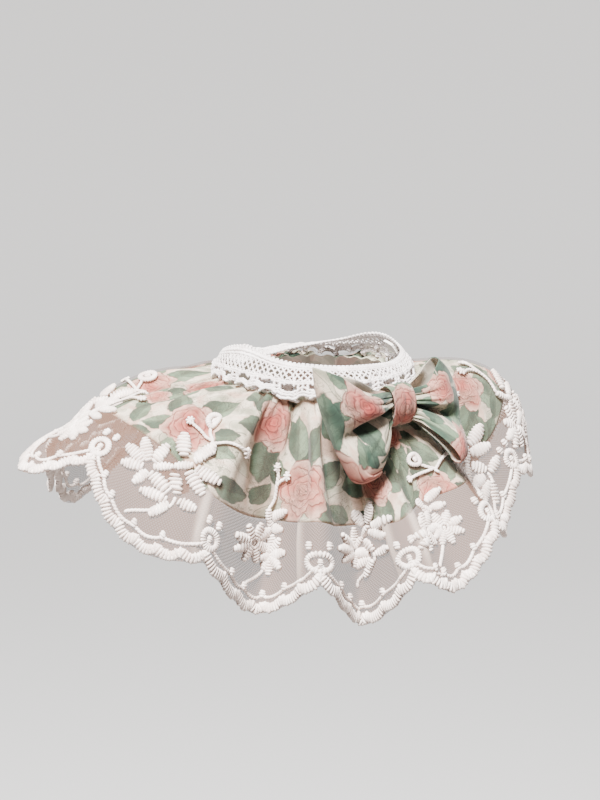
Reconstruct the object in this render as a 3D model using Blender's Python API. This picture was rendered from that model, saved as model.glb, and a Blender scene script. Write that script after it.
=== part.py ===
"""Lace bib collar, filled out as if worn: an embroidered net ruffle over a shorter floral cotton
ruffle, gathered to a crochet neckband, with a floral bow at the front.

Metres, +Z up. The origin is the centre of the neck seam. The bow is at the front, toward -Y.
A bearing is an angle round the neck in degrees: 0 is the front and 90 is +X.
"""
import math
from collections import namedtuple

import bmesh
import bpy
import numpy as np

MM = 0.001

# Neck and ruffle
SEAM_RADIUS = 39.5 * MM
SEAM_HEIGHT = 1.5 * MM
SEAM_START = -66.0  # bearing of the first row of FOLDS at the seam
REPEATS = 13  # scallops round the hem
GATHERS_A_REPEAT = 3
GATHER_HEIGHT = 0.45 * MM
GATHER_END = 0.26  # share of the cloth's length where the small gathers have died away
SCALLOP_DEPTH = 0.175  # share of the cloth's length cut away at a notch
FLORAL_SHARE = 0.57  # length of the floral ruffle as a share of the net's
CLOTH_WALL = 1.0 * MM
SEAM_GAP = 0.3 * MM

# Raised embroidery on the net
RIM_HEIGHT = 1.1 * MM
RIM_SHARE = 0.93  # the raised rim runs from here to the scalloped edge
MOTIF_HEIGHT = 1.0 * MM
RING_PLACE = (0.0, 0.755)  # share of a repeat, share of the cloth's length
FLOWER_PLACES = ((0.40, 0.79), (0.62, 0.74))
RING_SIZE = (0.10, 0.055)
FLOWER_SIZE = (0.17, 0.085)

# Neckband
BAND_WALL = 1.2 * MM
BAND_SCALLOPS = 24
BAND_OVERLAP = 0.020  # share of the ruffle's length that the band covers
SCALLOP_DROP = 0.018  # further share covered by the middle of each crochet scallop
PICOT_HEIGHT = 0.6 * MM
BAND_MIDDLE_RADIUS = 42.5 * MM  # the band curves toward this circle over the seam
BAND_MIDDLE_HEIGHT = 7.5 * MM

# Join strip inside the neckband
STRIP_BEARING = 78.0
STRIP_SPREAD = 5.0  # degrees each way
STRIP_WALL = 1.0 * MM

# Bow
BOW_CENTRE = (0.0, -53.0 * MM, -2.5 * MM)
KNOT_LENGTH = 12.0 * MM
KNOT_HEIGHT = 18.0 * MM
KNOT_DEPTH = 13.0 * MM
KNOT_BARREL = 0.08  # how much slimmer the knot is at its sides
BOW_WALL = 1.2 * MM
WAIST_START = 2.0 * MM  # the wings' cut ends, inside the knot
WAIST_END = 6.8 * MM  # the wings spread from here, just outside the knot
WAIST_HALF_HEIGHT = 5.6 * MM
WAIST_HALF_DEPTH = 1.9 * MM

# Mesh fineness
COLUMNS_A_REPEAT = 12
COVERED_ROWS = (0.0, 0.06, 0.16, 0.30, 0.44, FLORAL_SHARE)
NET_OUTER_ROWS = COVERED_ROWS + (0.64, 0.70, 0.755, 0.81, 0.865, RIM_SHARE, 0.965, 1.0)
NET_INNER_ROWS = COVERED_ROWS + (0.70, 0.81, 0.91, 1.0)

# One row for each notch and each tip of the scallops, in turn, so that a crest, a valley or a
# panel edge falls on a row. Lengths in millimetres.
#   bearing   of the hem
#   reach     distance of the hem from the neck's axis
#   drop      height of the hem
#   out, rise how far the cloth first runs out from the seam, and how high
#   lean      how far in from the hem the cloth starts to fall
#   hang      how far above the hem it does so
Fold = namedtuple("Fold", "bearing reach drop out rise lean hang")
FOLDS = (
    Fold(-66, 105, -72, 22, -5, 4, 32),
    Fold(-60, 70, -84, 4, -16, 20, 28),
    Fold(-38, 85, -84, 12, -6, 5, 41),
    Fold(-21, 63, -91, 4, -16, 13, 34),
    Fold(-13, 102, -80, 2, -22, 18, 34),
    Fold(-1, 94, -71, 4, -17, 19, 28),
    Fold(13, 101, -66, 8, -14, 14, 30),
    Fold(31, 84, -61, 4, -16, 14, 22),
    Fold(50, 93, -56, 14, -3, 6, 28),
    Fold(65, 98, -48, 31, 6, 2, 40),
    Fold(78, 103, -40, 32, 6, 2, 36),
    Fold(93, 92, -64, 12, -4, 12, 30),
    Fold(107, 112, -50, 28, 4, 6, 36),
    Fold(120, 116, -46, 30, 4, 8, 34),
    Fold(135, 92, -74, 12, -6, 12, 34),
    Fold(150, 112, -56, 24, 2, 8, 36),
    Fold(165, 116, -50, 28, 4, 8, 36),
    Fold(179, 94, -72, 12, -6, 14, 34),
    Fold(191, 110, -66, 20, 0, 8, 40),
    Fold(205, 120, -70, 24, 2, 8, 42),
    Fold(219, 122, -68, 24, 3, 8, 44),
    Fold(232, 112, -48, 30, 7, 8, 44),
    Fold(246, 122, -26, 20, -8, 18, 16),
    Fold(259, 133, -25, 38, 5, 22, 17),
    Fold(269, 125, -34, 34, 3, 12, 26),
    Fold(279, 112, -47, 24, 0, 6, 30),
)

# The neckband's top edge, a row every 30 degrees from the front, toward +X. Millimetres.
Neckline = namedtuple("Neckline", "height radius")
NECKLINE = (
    Neckline(10.5, 36.0),
    Neckline(9.5, 36.5),
    Neckline(11.5, 38.0),
    Neckline(14.5, 37.0),
    Neckline(10.0, 35.0),
    Neckline(7.0, 33.5),
    Neckline(4.5, 34.5),
    Neckline(4.0, 36.0),
    Neckline(13.0, 38.5),
    Neckline(18.0, 36.5),
    Neckline(13.5, 35.5),
    Neckline(11.5, 35.5),
)

# Wings of the bow, each a fan of rays from the knot. One row for each ray, top to bottom.
#   angle    of the ray above the horizontal, degrees
#   length   of the ray, millimetres
#   puff     how far its front layer bulges forward, millimetres
#   sweep    how far its end lies in front of the knot's centre, millimetres
Ray = namedtuple("Ray", "angle length puff sweep")
LEFT_WING = (
    Ray(20, 43, 3.0, -4),
    Ray(11, 41, 7.0, -3),
    Ray(2, 39, 9.0, -2),
    Ray(-6, 37, 7.0, -1),
    Ray(-15, 36, 0.0, 1),
    Ray(-29, 35, 6.0, 3),
    Ray(-44, 34, 6.0, 5),
    Ray(-54, 26, 3.0, 6),
)
RIGHT_WING = (
    Ray(28, 24, 3.0, 0),
    Ray(17, 28, 7.0, 0),
    Ray(6, 30, 8.0, 1),
    Ray(-5, 29, 6.0, 5),
    Ray(-17, 27, 0.0, 10),
    Ray(-29, 25, 5.0, 15.5),
    Ray(-43, 24, 5.0, 20),
    Ray(-57, 20, 3.0, 22),
)
RAY_STEPS = 2  # mesh steps from each ray to the next
WAIST_IN = -1.0  # marks the wing's cut ends, inside the knot
WING_SHARES = (0.0, 0.1, 0.24, 0.4, 0.58, 0.76, 0.92)
BACK_PUFF = 0.1  # the back layer's bulge as a share of the front's
TURN_DEPTH = 2.6 * MM  # half the thickness of a wing where it folds back
TURN_SHARE = 0.08
TURN_ANGLES = (60.0, 20.0, -20.0, -60.0)

COLOURS = {
    "net_ruffle": (0.80, 0.74, 0.69),
    "floral_ruffle": (0.83, 0.74, 0.66),
    "neckband": (0.87, 0.85, 0.86),
    "join_strip": (0.84, 0.80, 0.77),
    "bow_wing_left": (0.80, 0.60, 0.56),
    "bow_wing_right": (0.66, 0.68, 0.60),
    "bow_knot": (0.80, 0.62, 0.57),
}


def clear_scene():
    for thing in list(bpy.data.objects):
        bpy.data.objects.remove(thing, do_unlink=True)


def unit(vectors):
    return vectors / np.linalg.norm(vectors, axis=-1, keepdims=True)


def smooth_step(value):
    value = np.clip(value, 0.0, 1.0)
    return value * value * (3.0 - 2.0 * value)


def around(rows, place):
    """Smooth closed curve through evenly spaced rows; place counts rows."""
    rows = np.asarray(rows, dtype=float)
    count = len(rows)
    first = np.floor(place).astype(int)
    part = (place - first)[..., None]
    before, start, end, after = (rows[(first + step) % count] for step in (-1, 0, 1, 2))
    return 0.5 * (
        2.0 * start
        + (end - before) * part
        + (2.0 * before - 5.0 * start + 4.0 * end - after) * part**2
        + (3.0 * start - before - 3.0 * end + after) * part**3
    )


def polar(bearing, radius, height):
    angle = np.radians(bearing)
    return np.stack([radius * np.sin(angle), -radius * np.cos(angle), height + 0.0 * angle], axis=-1)


def fold_handles():
    """The three points that steer each row's profile after the seam, as arrays of rows."""
    seam = SEAM_START + 360.0 * np.arange(len(FOLDS)) / len(FOLDS)
    hem = np.array([fold.bearing for fold in FOLDS], dtype=float)
    reach = np.array([fold.reach for fold in FOLDS]) * MM
    drop = np.array([fold.drop for fold in FOLDS]) * MM
    out = np.array([fold.out for fold in FOLDS]) * MM
    rise = np.array([fold.rise for fold in FOLDS]) * MM
    lean = np.array([fold.lean for fold in FOLDS]) * MM
    hang = np.array([fold.hang for fold in FOLDS]) * MM
    turn = hem - seam
    turn = (turn + 180.0) % 360.0 - 180.0
    shoulder = polar(seam + 0.4 * turn, SEAM_RADIUS + out, rise)
    fall = polar(seam + 0.9 * turn, reach - lean, drop + hang)
    end = polar(seam + turn, reach, drop)
    return shoulder, fall, end


SHOULDER, FALL, END = fold_handles()
PROFILE_STEPS = np.linspace(0.0, 1.0, 41)


def profile_points(across):
    """Dense points down the cloth at each place across it; across runs 0 to 1 round the hem."""
    row = across * len(FOLDS)
    seam = polar(SEAM_START + 360.0 * across, SEAM_RADIUS + 0.0 * across, SEAM_HEIGHT)
    handles = [seam] + [around(points, row) for points in (SHOULDER, FALL, END)]
    step = PROFILE_STEPS[:, None, None]
    weights = ((1 - step)**3, 3 * step * (1 - step)**2, 3 * step**2 * (1 - step), step**3)
    return sum(weight * handle[None] for weight, handle in zip(weights, handles))


def ruffle_sheet(across, down):
    """Points of the ruffle's sheet for arrays of places across and down it, 0 to 1."""
    flat_across = np.ravel(across)
    flat_down = np.ravel(down)
    dense = profile_points(flat_across)
    lengths = np.linalg.norm(np.diff(dense, axis=0), axis=-1)
    travelled = np.vstack([np.zeros(lengths.shape[1]), np.cumsum(lengths, axis=0)])
    points = np.empty((flat_across.size, 3))
    for column in range(flat_across.size):
        share = travelled[:, column] / travelled[-1, column]
        for axis in range(3):
            points[column, axis] = np.interp(flat_down[column], share, dense[:, column, axis])
    lift = GATHER_HEIGHT * smooth_step(1.0 - flat_down / GATHER_END)
    lift = lift * np.sin(2.0 * math.pi * REPEATS * GATHERS_A_REPEAT * flat_across)
    points[:, 2] += lift
    return points.reshape(np.shape(across) + (3,))


def ruffle(across, down):
    """Points of the sheet and its outward normals."""
    side = 0.003
    along = 0.02
    upper = np.clip(down - along, 0.0, 1.0)
    lower = np.clip(down + along, 0.0, 1.0)
    crosswise = ruffle_sheet(across + side, down) - ruffle_sheet(across - side, down)
    lengthwise = ruffle_sheet(across, lower) - ruffle_sheet(across, upper)
    return ruffle_sheet(across, down), unit(np.cross(lengthwise, crosswise))


def scallop(across):
    """Share of the cloth's length left at each place: 1 at a tip, least at a notch."""
    phase = across * REPEATS
    swell = np.abs(np.sin(math.pi * phase))
    return 1.0 - SCALLOP_DEPTH * (1.0 - 0.5 * swell - 0.5 * swell**2)


def down_to_hem(across, rows):
    """Places down the cloth for mesh rows that follow the scallops below the floral edge."""
    rows = np.asarray(rows)[:, None]
    left = (scallop(across)[None] - FLORAL_SHARE) / (1.0 - FLORAL_SHARE)
    return np.where(rows <= FLORAL_SHARE, rows, FLORAL_SHARE + (rows - FLORAL_SHARE) * left)


def motif(phase, down, place, size):
    off_across = (phase - place[0] + 0.5) % 1.0 - 0.5
    distance = np.hypot(off_across / size[0], (down - place[1]) / size[1])
    return smooth_step(1.6 * (1.0 - distance))


def embroidery(across, down, rows):
    """Height of the raised stitching over the net."""
    phase = (across * REPEATS) % 1.0
    raised = motif(phase, down, RING_PLACE, RING_SIZE)
    for place in FLOWER_PLACES:
        raised = np.maximum(raised, motif(phase, down, place, FLOWER_SIZE))
    rim = np.where(np.asarray(rows)[:, None] >= RIM_SHARE, RIM_HEIGHT, 0.0)
    return np.maximum(rim, MOTIF_HEIGHT * raised)


def strip_faces(mesh, first, second, closed):
    """Triangles between two rows of vertices; closed joins the last column to the first."""
    count = len(first)
    for column in range(count if closed else count - 1):
        after = (column + 1) % count
        mesh.faces.new((first[column], second[column], second[after]))
        mesh.faces.new((first[column], second[after], first[after]))


def loft_wall(name, outer, inner, closed):
    """A closed wall between an outer and an inner grid of points, given as rows of columns."""
    mesh = bmesh.new()
    outer_rows = [[mesh.verts.new(point) for point in row] for row in outer]
    inner_rows = [[mesh.verts.new(point) for point in row] for row in inner]
    for upper, lower in zip(outer_rows, outer_rows[1:]):
        strip_faces(mesh, upper, lower, closed)
    for upper, lower in zip(inner_rows, inner_rows[1:]):
        strip_faces(mesh, upper, lower, closed)
    strip_faces(mesh, inner_rows[0], outer_rows[0], closed)
    strip_faces(mesh, outer_rows[-1], inner_rows[-1], closed)
    if not closed:
        for column, flip in ((0, False), (-1, True)):
            outer_side = [row[column] for row in outer_rows]
            inner_side = [row[column] for row in inner_rows]
            pair = (inner_side, outer_side) if flip else (outer_side, inner_side)
            strip_faces(mesh, pair[0], pair[1], False)
    bmesh.ops.recalc_face_normals(mesh, faces=mesh.faces)
    return add_object(name, mesh)


def add_object(name, mesh):
    data = bpy.data.meshes.new(name)
    mesh.to_mesh(data)
    mesh.free()
    data.shade_smooth()
    data.set_sharp_from_angle(angle=math.radians(50))
    material = bpy.data.materials.new(name)
    material.use_nodes = True
    shader = material.node_tree.nodes["Principled BSDF"]
    shader.inputs["Base Color"].default_value = (*COLOURS[name], 1.0)
    shader.inputs["Roughness"].default_value = 0.85
    shader.inputs["Metallic"].default_value = 0.0
    data.materials.append(material)
    thing = bpy.data.objects.new(name, data)
    COLLECTION.objects.link(thing)
    return thing


def columns(count):
    return np.arange(count) / count


def floral_ruffle():
    across = columns(REPEATS * COLUMNS_A_REPEAT)
    grid = np.broadcast_to(across, (len(COVERED_ROWS), across.size))
    points, normals = ruffle(grid, down_to_hem(across, COVERED_ROWS))
    return loft_wall("floral_ruffle", points + CLOTH_WALL * normals, points, True)


def net_ruffle():
    across = columns(REPEATS * COLUMNS_A_REPEAT)
    sides = []
    for rows, offset in ((NET_OUTER_ROWS, 2 * CLOTH_WALL + SEAM_GAP), (NET_INNER_ROWS, CLOTH_WALL + SEAM_GAP)):
        grid = np.broadcast_to(across, (len(rows), across.size))
        down = down_to_hem(across, rows)
        points, normals = ruffle(grid, down)
        raised = embroidery(grid, down, rows) if rows is NET_OUTER_ROWS else 0.0 * down
        sides.append(points + (offset + raised)[..., None] * normals)
    return loft_wall("net_ruffle", sides[0], sides[1], True)


def band_grid(bearing, rows, picots):
    """Points of the neckband's inner face, from its scalloped lower edge (row 0) to its top."""
    across = ((bearing - SEAM_START) / 360.0) % 1.0
    wave = np.abs(np.sin(math.radians(180.0) * BAND_SCALLOPS * (bearing / 360.0)))
    down = BAND_OVERLAP + SCALLOP_DROP * wave
    points, normals = ruffle(across, down)
    lower = points + (2 * CLOTH_WALL + 2 * SEAM_GAP + GATHER_HEIGHT) * normals
    edge = around([(line.height, line.radius) for line in NECKLINE], (bearing % 360.0) / 30.0) * MM
    upper = polar(bearing, edge[:, 1], edge[:, 0] + picots * wave)
    middle = polar(bearing, BAND_MIDDLE_RADIUS + 0.0 * wave, BAND_MIDDLE_HEIGHT)
    rows = np.asarray(rows)[:, None, None]
    return (1.0 - rows)**2 * lower + 2.0 * rows * (1.0 - rows) * middle + rows**2 * upper


def grid_normals(grid):
    """Outward normals of a neckband grid whose rows run upward."""
    upward = np.gradient(grid, axis=0)
    crosswise = np.gradient(grid, axis=1)
    return unit(np.cross(crosswise, upward))


def neckband():
    count = BAND_SCALLOPS * 4
    bearing = np.arange(-2, count + 2) * 360.0 / count
    inner = band_grid(bearing, (0.0, 0.33, 0.66, 1.0), PICOT_HEIGHT)
    outer = inner + BAND_WALL * grid_normals(inner)
    return loft_wall("neckband", outer[:, 2:-2], inner[:, 2:-2], True)


def join_strip():
    bearing = STRIP_BEARING + STRIP_SPREAD * np.linspace(-1.0, 1.0, 4)
    band = band_grid(bearing, (0.5, 0.62, 0.78, 0.92), 0.0)
    normals = grid_normals(band)
    outer = band - 2 * SEAM_GAP * normals
    return loft_wall("join_strip", outer, outer - STRIP_WALL * normals, False)


def open_curve(rows, place):
    """Smooth open curve through evenly spaced rows; place counts rows."""
    rows = np.asarray(rows, dtype=float)
    padded = np.vstack([2 * rows[0] - rows[1], rows, 2 * rows[-1] - rows[-2]])
    place = np.clip(place, 0.0, len(rows) - 1 - 1e-9)
    return around(padded, place + 1.0)


def layer_depth(share):
    """Half the space between a wing's layers, and how full its bulge is, at a share of its rays."""
    return WAIST_HALF_DEPTH + (TURN_DEPTH - WAIST_HALF_DEPTH) * share, math.sin(math.pi * share**0.8)


def wing_stations(puff):
    """Shares of the rays, and distances forward, along the cloth from the knot and back to it."""
    front = [(WAIST_IN, WAIST_HALF_DEPTH + 0.0 * puff)]
    back = [(WAIST_IN, -WAIST_HALF_DEPTH + 0.0 * puff)]
    for share in WING_SHARES:
        depth, bulge = layer_depth(share)
        front.append((share, depth + puff * bulge))
        back.append((share, -depth - BACK_PUFF * puff * bulge))
    fold = []
    for turn in np.radians(TURN_ANGLES):
        share = WING_SHARES[-1] + TURN_SHARE * math.cos(turn)
        fold.append((share, TURN_DEPTH * math.sin(turn) + 0.0 * puff))
    return front + fold + back[::-1]


def wing_sheet(rays, side):
    """Grid of points of a wing: out along the front layer, round the fold and back behind."""
    place = np.linspace(0.0, len(rays) - 1.0, RAY_STEPS * (len(rays) - 1) + 1)
    table = open_curve(rays, place)
    angle = np.radians(table[:, 0])
    length, puff, sweep = (table[:, column] * MM for column in (1, 2, 3))
    waist = WAIST_HALF_HEIGHT * np.linspace(1.0, -1.0, place.size)
    grid = []
    for share, forward in wing_stations(puff):
        beyond = max(0.0, share)
        out = WAIST_END + beyond * (length - WAIST_END) * np.cos(angle)
        if share < 0.0:
            out = WAIST_START + 0.0 * angle
        up = waist + beyond * length * np.sin(angle)
        ahead = forward + sweep * math.sin(0.5 * math.pi * beyond)
        grid.append(np.stack([side * out, -ahead, up], axis=-1))
    return np.array(grid) + np.array(BOW_CENTRE)


def wing(name, rays, side):
    middle = wing_sheet(rays, side)
    normals = unit(np.cross(np.gradient(middle, axis=0), np.gradient(middle, axis=1)))
    half = 0.5 * BOW_WALL * normals
    return loft_wall(name, middle + half, middle - half, False)


def knot():
    """The wrapped band: an oval tube along X, slightly fuller in the middle."""
    stations = np.linspace(-1.0, 1.0, 5)
    angles = np.linspace(0.0, 2.0 * math.pi, 20, endpoint=False)
    sides = []
    for wall in (0.0, BOW_WALL):
        rings = []
        for station in stations:
            fullness = 1.0 - KNOT_BARREL * station**2
            depth = 0.5 * KNOT_DEPTH * fullness - wall
            height = 0.5 * KNOT_HEIGHT * fullness - wall
            along = 0.5 * KNOT_LENGTH * station + 0.0 * angles
            rings.append(np.stack([along, -depth * np.cos(angles), height * np.sin(angles)], axis=-1))
        sides.append(np.array(rings) + np.array(BOW_CENTRE))
    return loft_wall("bow_knot", sides[0], sides[1], True)


clear_scene()
COLLECTION = bpy.data.collections.new("lace_bib_collar")
bpy.context.scene.collection.children.link(COLLECTION)
floral_ruffle()
net_ruffle()
neckband()
join_strip()
wing("bow_wing_left", LEFT_WING, -1.0)
wing("bow_wing_right", RIGHT_WING, 1.0)
knot()
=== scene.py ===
# %% [markdown]
# # A ruffled lace bib collar
# The collar is two gathered ruffles, one of embroidered net over one of printed cotton, sewn to a
# crochet neckband, with a bow in front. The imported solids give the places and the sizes. Here
# each cloth becomes a thin shell on the form of its solid, and every stitch of the embroidery and
# the crochet is a small rounded bar of thread that is laid on the cloth.

# %% Load the frame
import math
from collections import namedtuple

import bmesh
import bpy
import numpy as np
from mathutils import Matrix, Vector


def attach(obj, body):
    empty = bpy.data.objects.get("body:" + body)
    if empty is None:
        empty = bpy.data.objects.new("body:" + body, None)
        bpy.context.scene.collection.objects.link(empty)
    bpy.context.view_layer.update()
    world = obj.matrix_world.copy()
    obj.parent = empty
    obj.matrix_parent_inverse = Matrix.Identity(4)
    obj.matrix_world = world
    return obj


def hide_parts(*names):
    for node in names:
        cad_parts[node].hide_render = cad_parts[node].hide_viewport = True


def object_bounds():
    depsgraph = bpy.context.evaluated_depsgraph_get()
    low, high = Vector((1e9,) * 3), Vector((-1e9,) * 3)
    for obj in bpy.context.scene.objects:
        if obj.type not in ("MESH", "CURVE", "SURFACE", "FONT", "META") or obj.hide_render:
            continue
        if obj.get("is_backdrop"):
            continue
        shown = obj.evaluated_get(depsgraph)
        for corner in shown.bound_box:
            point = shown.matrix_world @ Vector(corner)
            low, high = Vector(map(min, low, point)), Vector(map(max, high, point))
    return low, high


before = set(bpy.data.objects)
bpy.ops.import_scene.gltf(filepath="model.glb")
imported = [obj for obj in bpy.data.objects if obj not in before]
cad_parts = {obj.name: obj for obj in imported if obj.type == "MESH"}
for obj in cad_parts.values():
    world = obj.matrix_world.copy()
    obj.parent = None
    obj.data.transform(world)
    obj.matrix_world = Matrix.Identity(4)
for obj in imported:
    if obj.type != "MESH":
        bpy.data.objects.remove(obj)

MM = 0.001
FULL_TURN = 2.0 * math.pi
cad_low, cad_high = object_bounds()
print("collar box, mm:", [round(1000 * side) for side in cad_high - cad_low])

# %% [markdown]
# ## The sheet that both ruffles follow
# A gathered ruffle is hard to model by pulling points about, because each fold has its own
# course. So the folds are a table, with a row for each notch and each tip of the scalloped hem. A
# row says where the hem lies, and how the cloth runs out from the neck and then falls. Smooth
# curves join the rows. Everything else is laid on this sheet by two shares: across, round the
# hem, and down.

# %% Fold table
SEAM_RADIUS = 39.5 * MM
SEAM_HEIGHT = 1.5 * MM
SEAM_START = -66.0  # bearing of the first fold at the seam, in degrees
REPEATS = 13  # scallops round the hem
SCALLOP_DEPTH = 0.175  # share of the cloth's length cut away at a notch
FLORAL_SHARE = 0.57  # length of the cotton ruffle as a share of the net's

# bearing    of the hem, in degrees from the front; lengths are in mm
# reach      of the hem from the neck's axis, and drop, its height
# out, rise  how far the cloth first runs out from the seam, and how high
# lean, hang how far in from the hem, and above it, the cloth starts to fall
Fold = namedtuple("Fold", "bearing reach drop out rise lean hang")
FOLDS = [Fold(*row) for row in (
    (-66, 105, -72, 22, -5, 4, 32), (-60, 70, -84, 4, -16, 20, 28),
    (-38, 85, -84, 12, -6, 5, 41), (-21, 63, -91, 4, -16, 13, 34),
    (-13, 102, -80, 2, -22, 18, 34), (-1, 94, -71, 4, -17, 19, 28),
    (13, 101, -66, 8, -14, 14, 30), (31, 84, -61, 4, -16, 14, 22),
    (50, 93, -56, 14, -3, 6, 28), (65, 98, -48, 31, 6, 2, 40),
    (78, 103, -40, 32, 6, 2, 36), (93, 92, -64, 12, -4, 12, 30),
    (107, 112, -50, 28, 4, 6, 36), (120, 116, -46, 30, 4, 8, 34),
    (135, 92, -74, 12, -6, 12, 34), (150, 112, -56, 24, 2, 8, 36),
    (165, 116, -50, 28, 4, 8, 36), (179, 94, -72, 12, -6, 14, 34),
    (191, 110, -66, 20, 0, 8, 40), (205, 120, -70, 24, 2, 8, 42),
    (219, 122, -68, 24, 3, 8, 44), (232, 112, -48, 30, 7, 8, 44),
    (246, 122, -26, 20, -8, 18, 16), (259, 133, -25, 38, 5, 22, 17),
    (269, 125, -34, 34, 3, 12, 26), (279, 112, -47, 24, 0, 6, 30),
)]
print("folds round the collar:", len(FOLDS) // 2)


# %% Curves through the rows
def around(rows, place):
    """Smooth closed curve through evenly spaced rows; place counts rows."""
    rows = np.asarray(rows, dtype=float)
    first = np.floor(place).astype(int)
    part = (place - first)[..., None]
    before, start, end, after = (rows[(first + step) % len(rows)] for step in (-1, 0, 1, 2))
    return 0.5 * (
        2.0 * start
        + (end - before) * part
        + (2.0 * before - 5.0 * start + 4.0 * end - after) * part**2
        + (3.0 * start - before - 3.0 * end + after) * part**3
    )


def polar(bearing, radius, height):
    angle = np.radians(bearing)
    return np.stack([radius * np.sin(angle), -radius * np.cos(angle), height + 0.0 * angle], -1)


def unit(vectors):
    return vectors / np.linalg.norm(vectors, axis=-1, keepdims=True)


def smooth_step(value):
    value = np.clip(value, 0.0, 1.0)
    return value * value * (3.0 - 2.0 * value)


def fold_handles():
    """The three points that steer each row's profile after the seam."""
    seam = SEAM_START + 360.0 * np.arange(len(FOLDS)) / len(FOLDS)
    table = np.array(FOLDS, dtype=float)
    bearing, (reach, drop, out, rise, lean, hang) = table[:, 0], table[:, 1:].T * MM
    turn = (bearing - seam + 180.0) % 360.0 - 180.0
    shoulder = polar(seam + 0.4 * turn, SEAM_RADIUS + out, rise)
    fall = polar(seam + 0.9 * turn, reach - lean, drop + hang)
    return shoulder, fall, polar(seam + turn, reach, drop)


# %% [markdown]
# The sheet is worked out once, on a fine chart of columns round the collar and rows down it.
# Small gathers, tucks and creases are added along the chart's normals. They are listed, each with
# its own length, width and depth, because real gathers are never even.

# %% Tucks and creases
CHART_COLUMNS = 130 * REPEATS
CHART_ROWS = 150
CREASE_DEPTH = 1.5  # all the creases, deepened together
GATHER_HEIGHT = 0.55 * MM
SEAM_GATHER_HEIGHT = 0.45 * MM
GATHERS = ((39, 1.0, 0.0), (61, 0.7, 1.3), (88, 0.5, 0.4))  # waves round, height, start

# repeat    place round the hem, counted in scallops
# top, foot where the crease starts and ends, as shares of the cloth's length
# width     of the crease, mm
# height    of the ridge, or of the trough where it is negative, mm
# drift     how far it wanders along the hem on its way down, in scallops
Crease = namedtuple("Crease", "repeat top foot width height drift")
CREASES = [Crease(*row) for row in (
    (0.20, 0.03, 0.56, 7.5, -1.9, 0.12), (0.52, 0.02, 0.60, 9.0, 1.6, 0.16),
    (0.82, 0.03, 0.50, 6.0, -1.2, 0.06), (0.97, 0.02, 0.40, 5.0, 0.9, 0.08),
    (1.16, 0.03, 0.62, 8.0, -1.9, 0.20), (1.62, 0.18, 0.76, 7.5, -1.6, 0.02),
    (0.84, 0.50, 0.86, 3.4, 1.1, 0.02), (1.88, 0.34, 0.84, 3.6, 1.0, 0.02),
    (2.18, 0.40, 0.86, 3.4, 1.0, -0.03), (2.55, 0.10, 0.52, 6.0, 1.2, 0.08),
    (2.92, 0.06, 0.40, 5.0, -1.0, 0.05), (3.30, 0.04, 0.46, 6.0, 1.2, 0.04),
    (3.75, 0.05, 0.36, 5.0, -1.2, 0.02), (4.20, 0.03, 0.50, 7.0, 1.1, -0.05),
    (4.70, 0.03, 0.40, 5.0, -1.0, 0.05), (5.25, 0.03, 0.44, 6.0, 1.2, 0.03),
    (5.80, 0.04, 0.55, 5.0, -1.0, -0.04), (6.40, 0.03, 0.48, 6.5, 1.3, 0.06),
    (6.95, 0.03, 0.36, 4.5, -1.1, 0.02), (7.45, 0.03, 0.52, 6.0, 1.2, -0.05),
    (8.10, 0.04, 0.42, 5.0, -1.2, 0.04), (8.62, 0.03, 0.50, 6.0, 1.1, 0.05),
    (9.15, 0.03, 0.38, 4.5, -1.0, -0.03), (9.70, 0.03, 0.46, 6.0, 1.2, 0.02),
    (10.30, 0.04, 0.40, 5.0, -1.0, 0.05), (10.85, 0.03, 0.52, 7.0, 1.2, 0.08),
    (11.35, 0.05, 0.40, 5.0, -1.2, 0.06), (11.76, 0.03, 0.46, 8.0, -2.0, 0.05),
    (12.05, 0.03, 0.38, 5.0, 0.9, 0.04), (12.33, 0.04, 0.54, 9.0, 1.5, 0.00),
    (12.64, 0.03, 0.50, 6.5, -1.4, 0.08), (12.96, 0.03, 0.58, 8.0, 1.5, 0.10),
    (12.92, 0.52, 0.84, 3.6, 1.0, 0.03),
)]


def scallop(across):
    """Share of the cloth's length left at each place: 1 at a tip, least at a notch."""
    swell = np.abs(np.sin(math.pi * REPEATS * across))
    return 1.0 - SCALLOP_DEPTH * (1.0 - 0.5 * swell - 0.5 * swell**2)


def gathers(across, down):
    """Height of the small puckers that spread out from the neck seam, in metres."""
    turn = FULL_TURN * across
    fine = sum(height * np.sin(waves * turn + start) for waves, height, start in GATHERS)
    uneven = 1.0 + 0.35 * np.sin(7 * turn + 0.6) + 0.2 * np.sin(17 * turn)
    near_seam = smooth_step(down / 0.05) * smooth_step(1.0 - down / (0.30 * uneven))
    at_seam = np.sin(GATHERS[0][0] * turn) * smooth_step(1.0 - down / 0.08)
    return GATHER_HEIGHT * fine * uneven * near_seam + SEAM_GATHER_HEIGHT * at_seam


def creases(across, down, width_of_repeat):
    """Height of the creases placed by hand, in metres."""
    height = 0.0 * down
    for crease in CREASES:
        share = np.clip((down - crease.top) / (crease.foot - crease.top), 0.0, 1.0)
        centre = crease.repeat + crease.drift * (share - 0.5)
        off = (across * REPEATS - centre + 0.5 * REPEATS) % REPEATS - 0.5 * REPEATS
        spread = np.exp(-((off * width_of_repeat) / (0.5 * crease.width * MM))**2)
        fade = np.sin(math.pi * share)**0.7
        height = height + CREASE_DEPTH * crease.height * MM * spread * fade
    return height


# %% Work out the sheet
PROFILE_STEPS = 121  # points that each profile is measured at
NORMAL_REACH = 4  # columns that a normal is taken over, so that a fine pucker hardly tilts it


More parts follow.
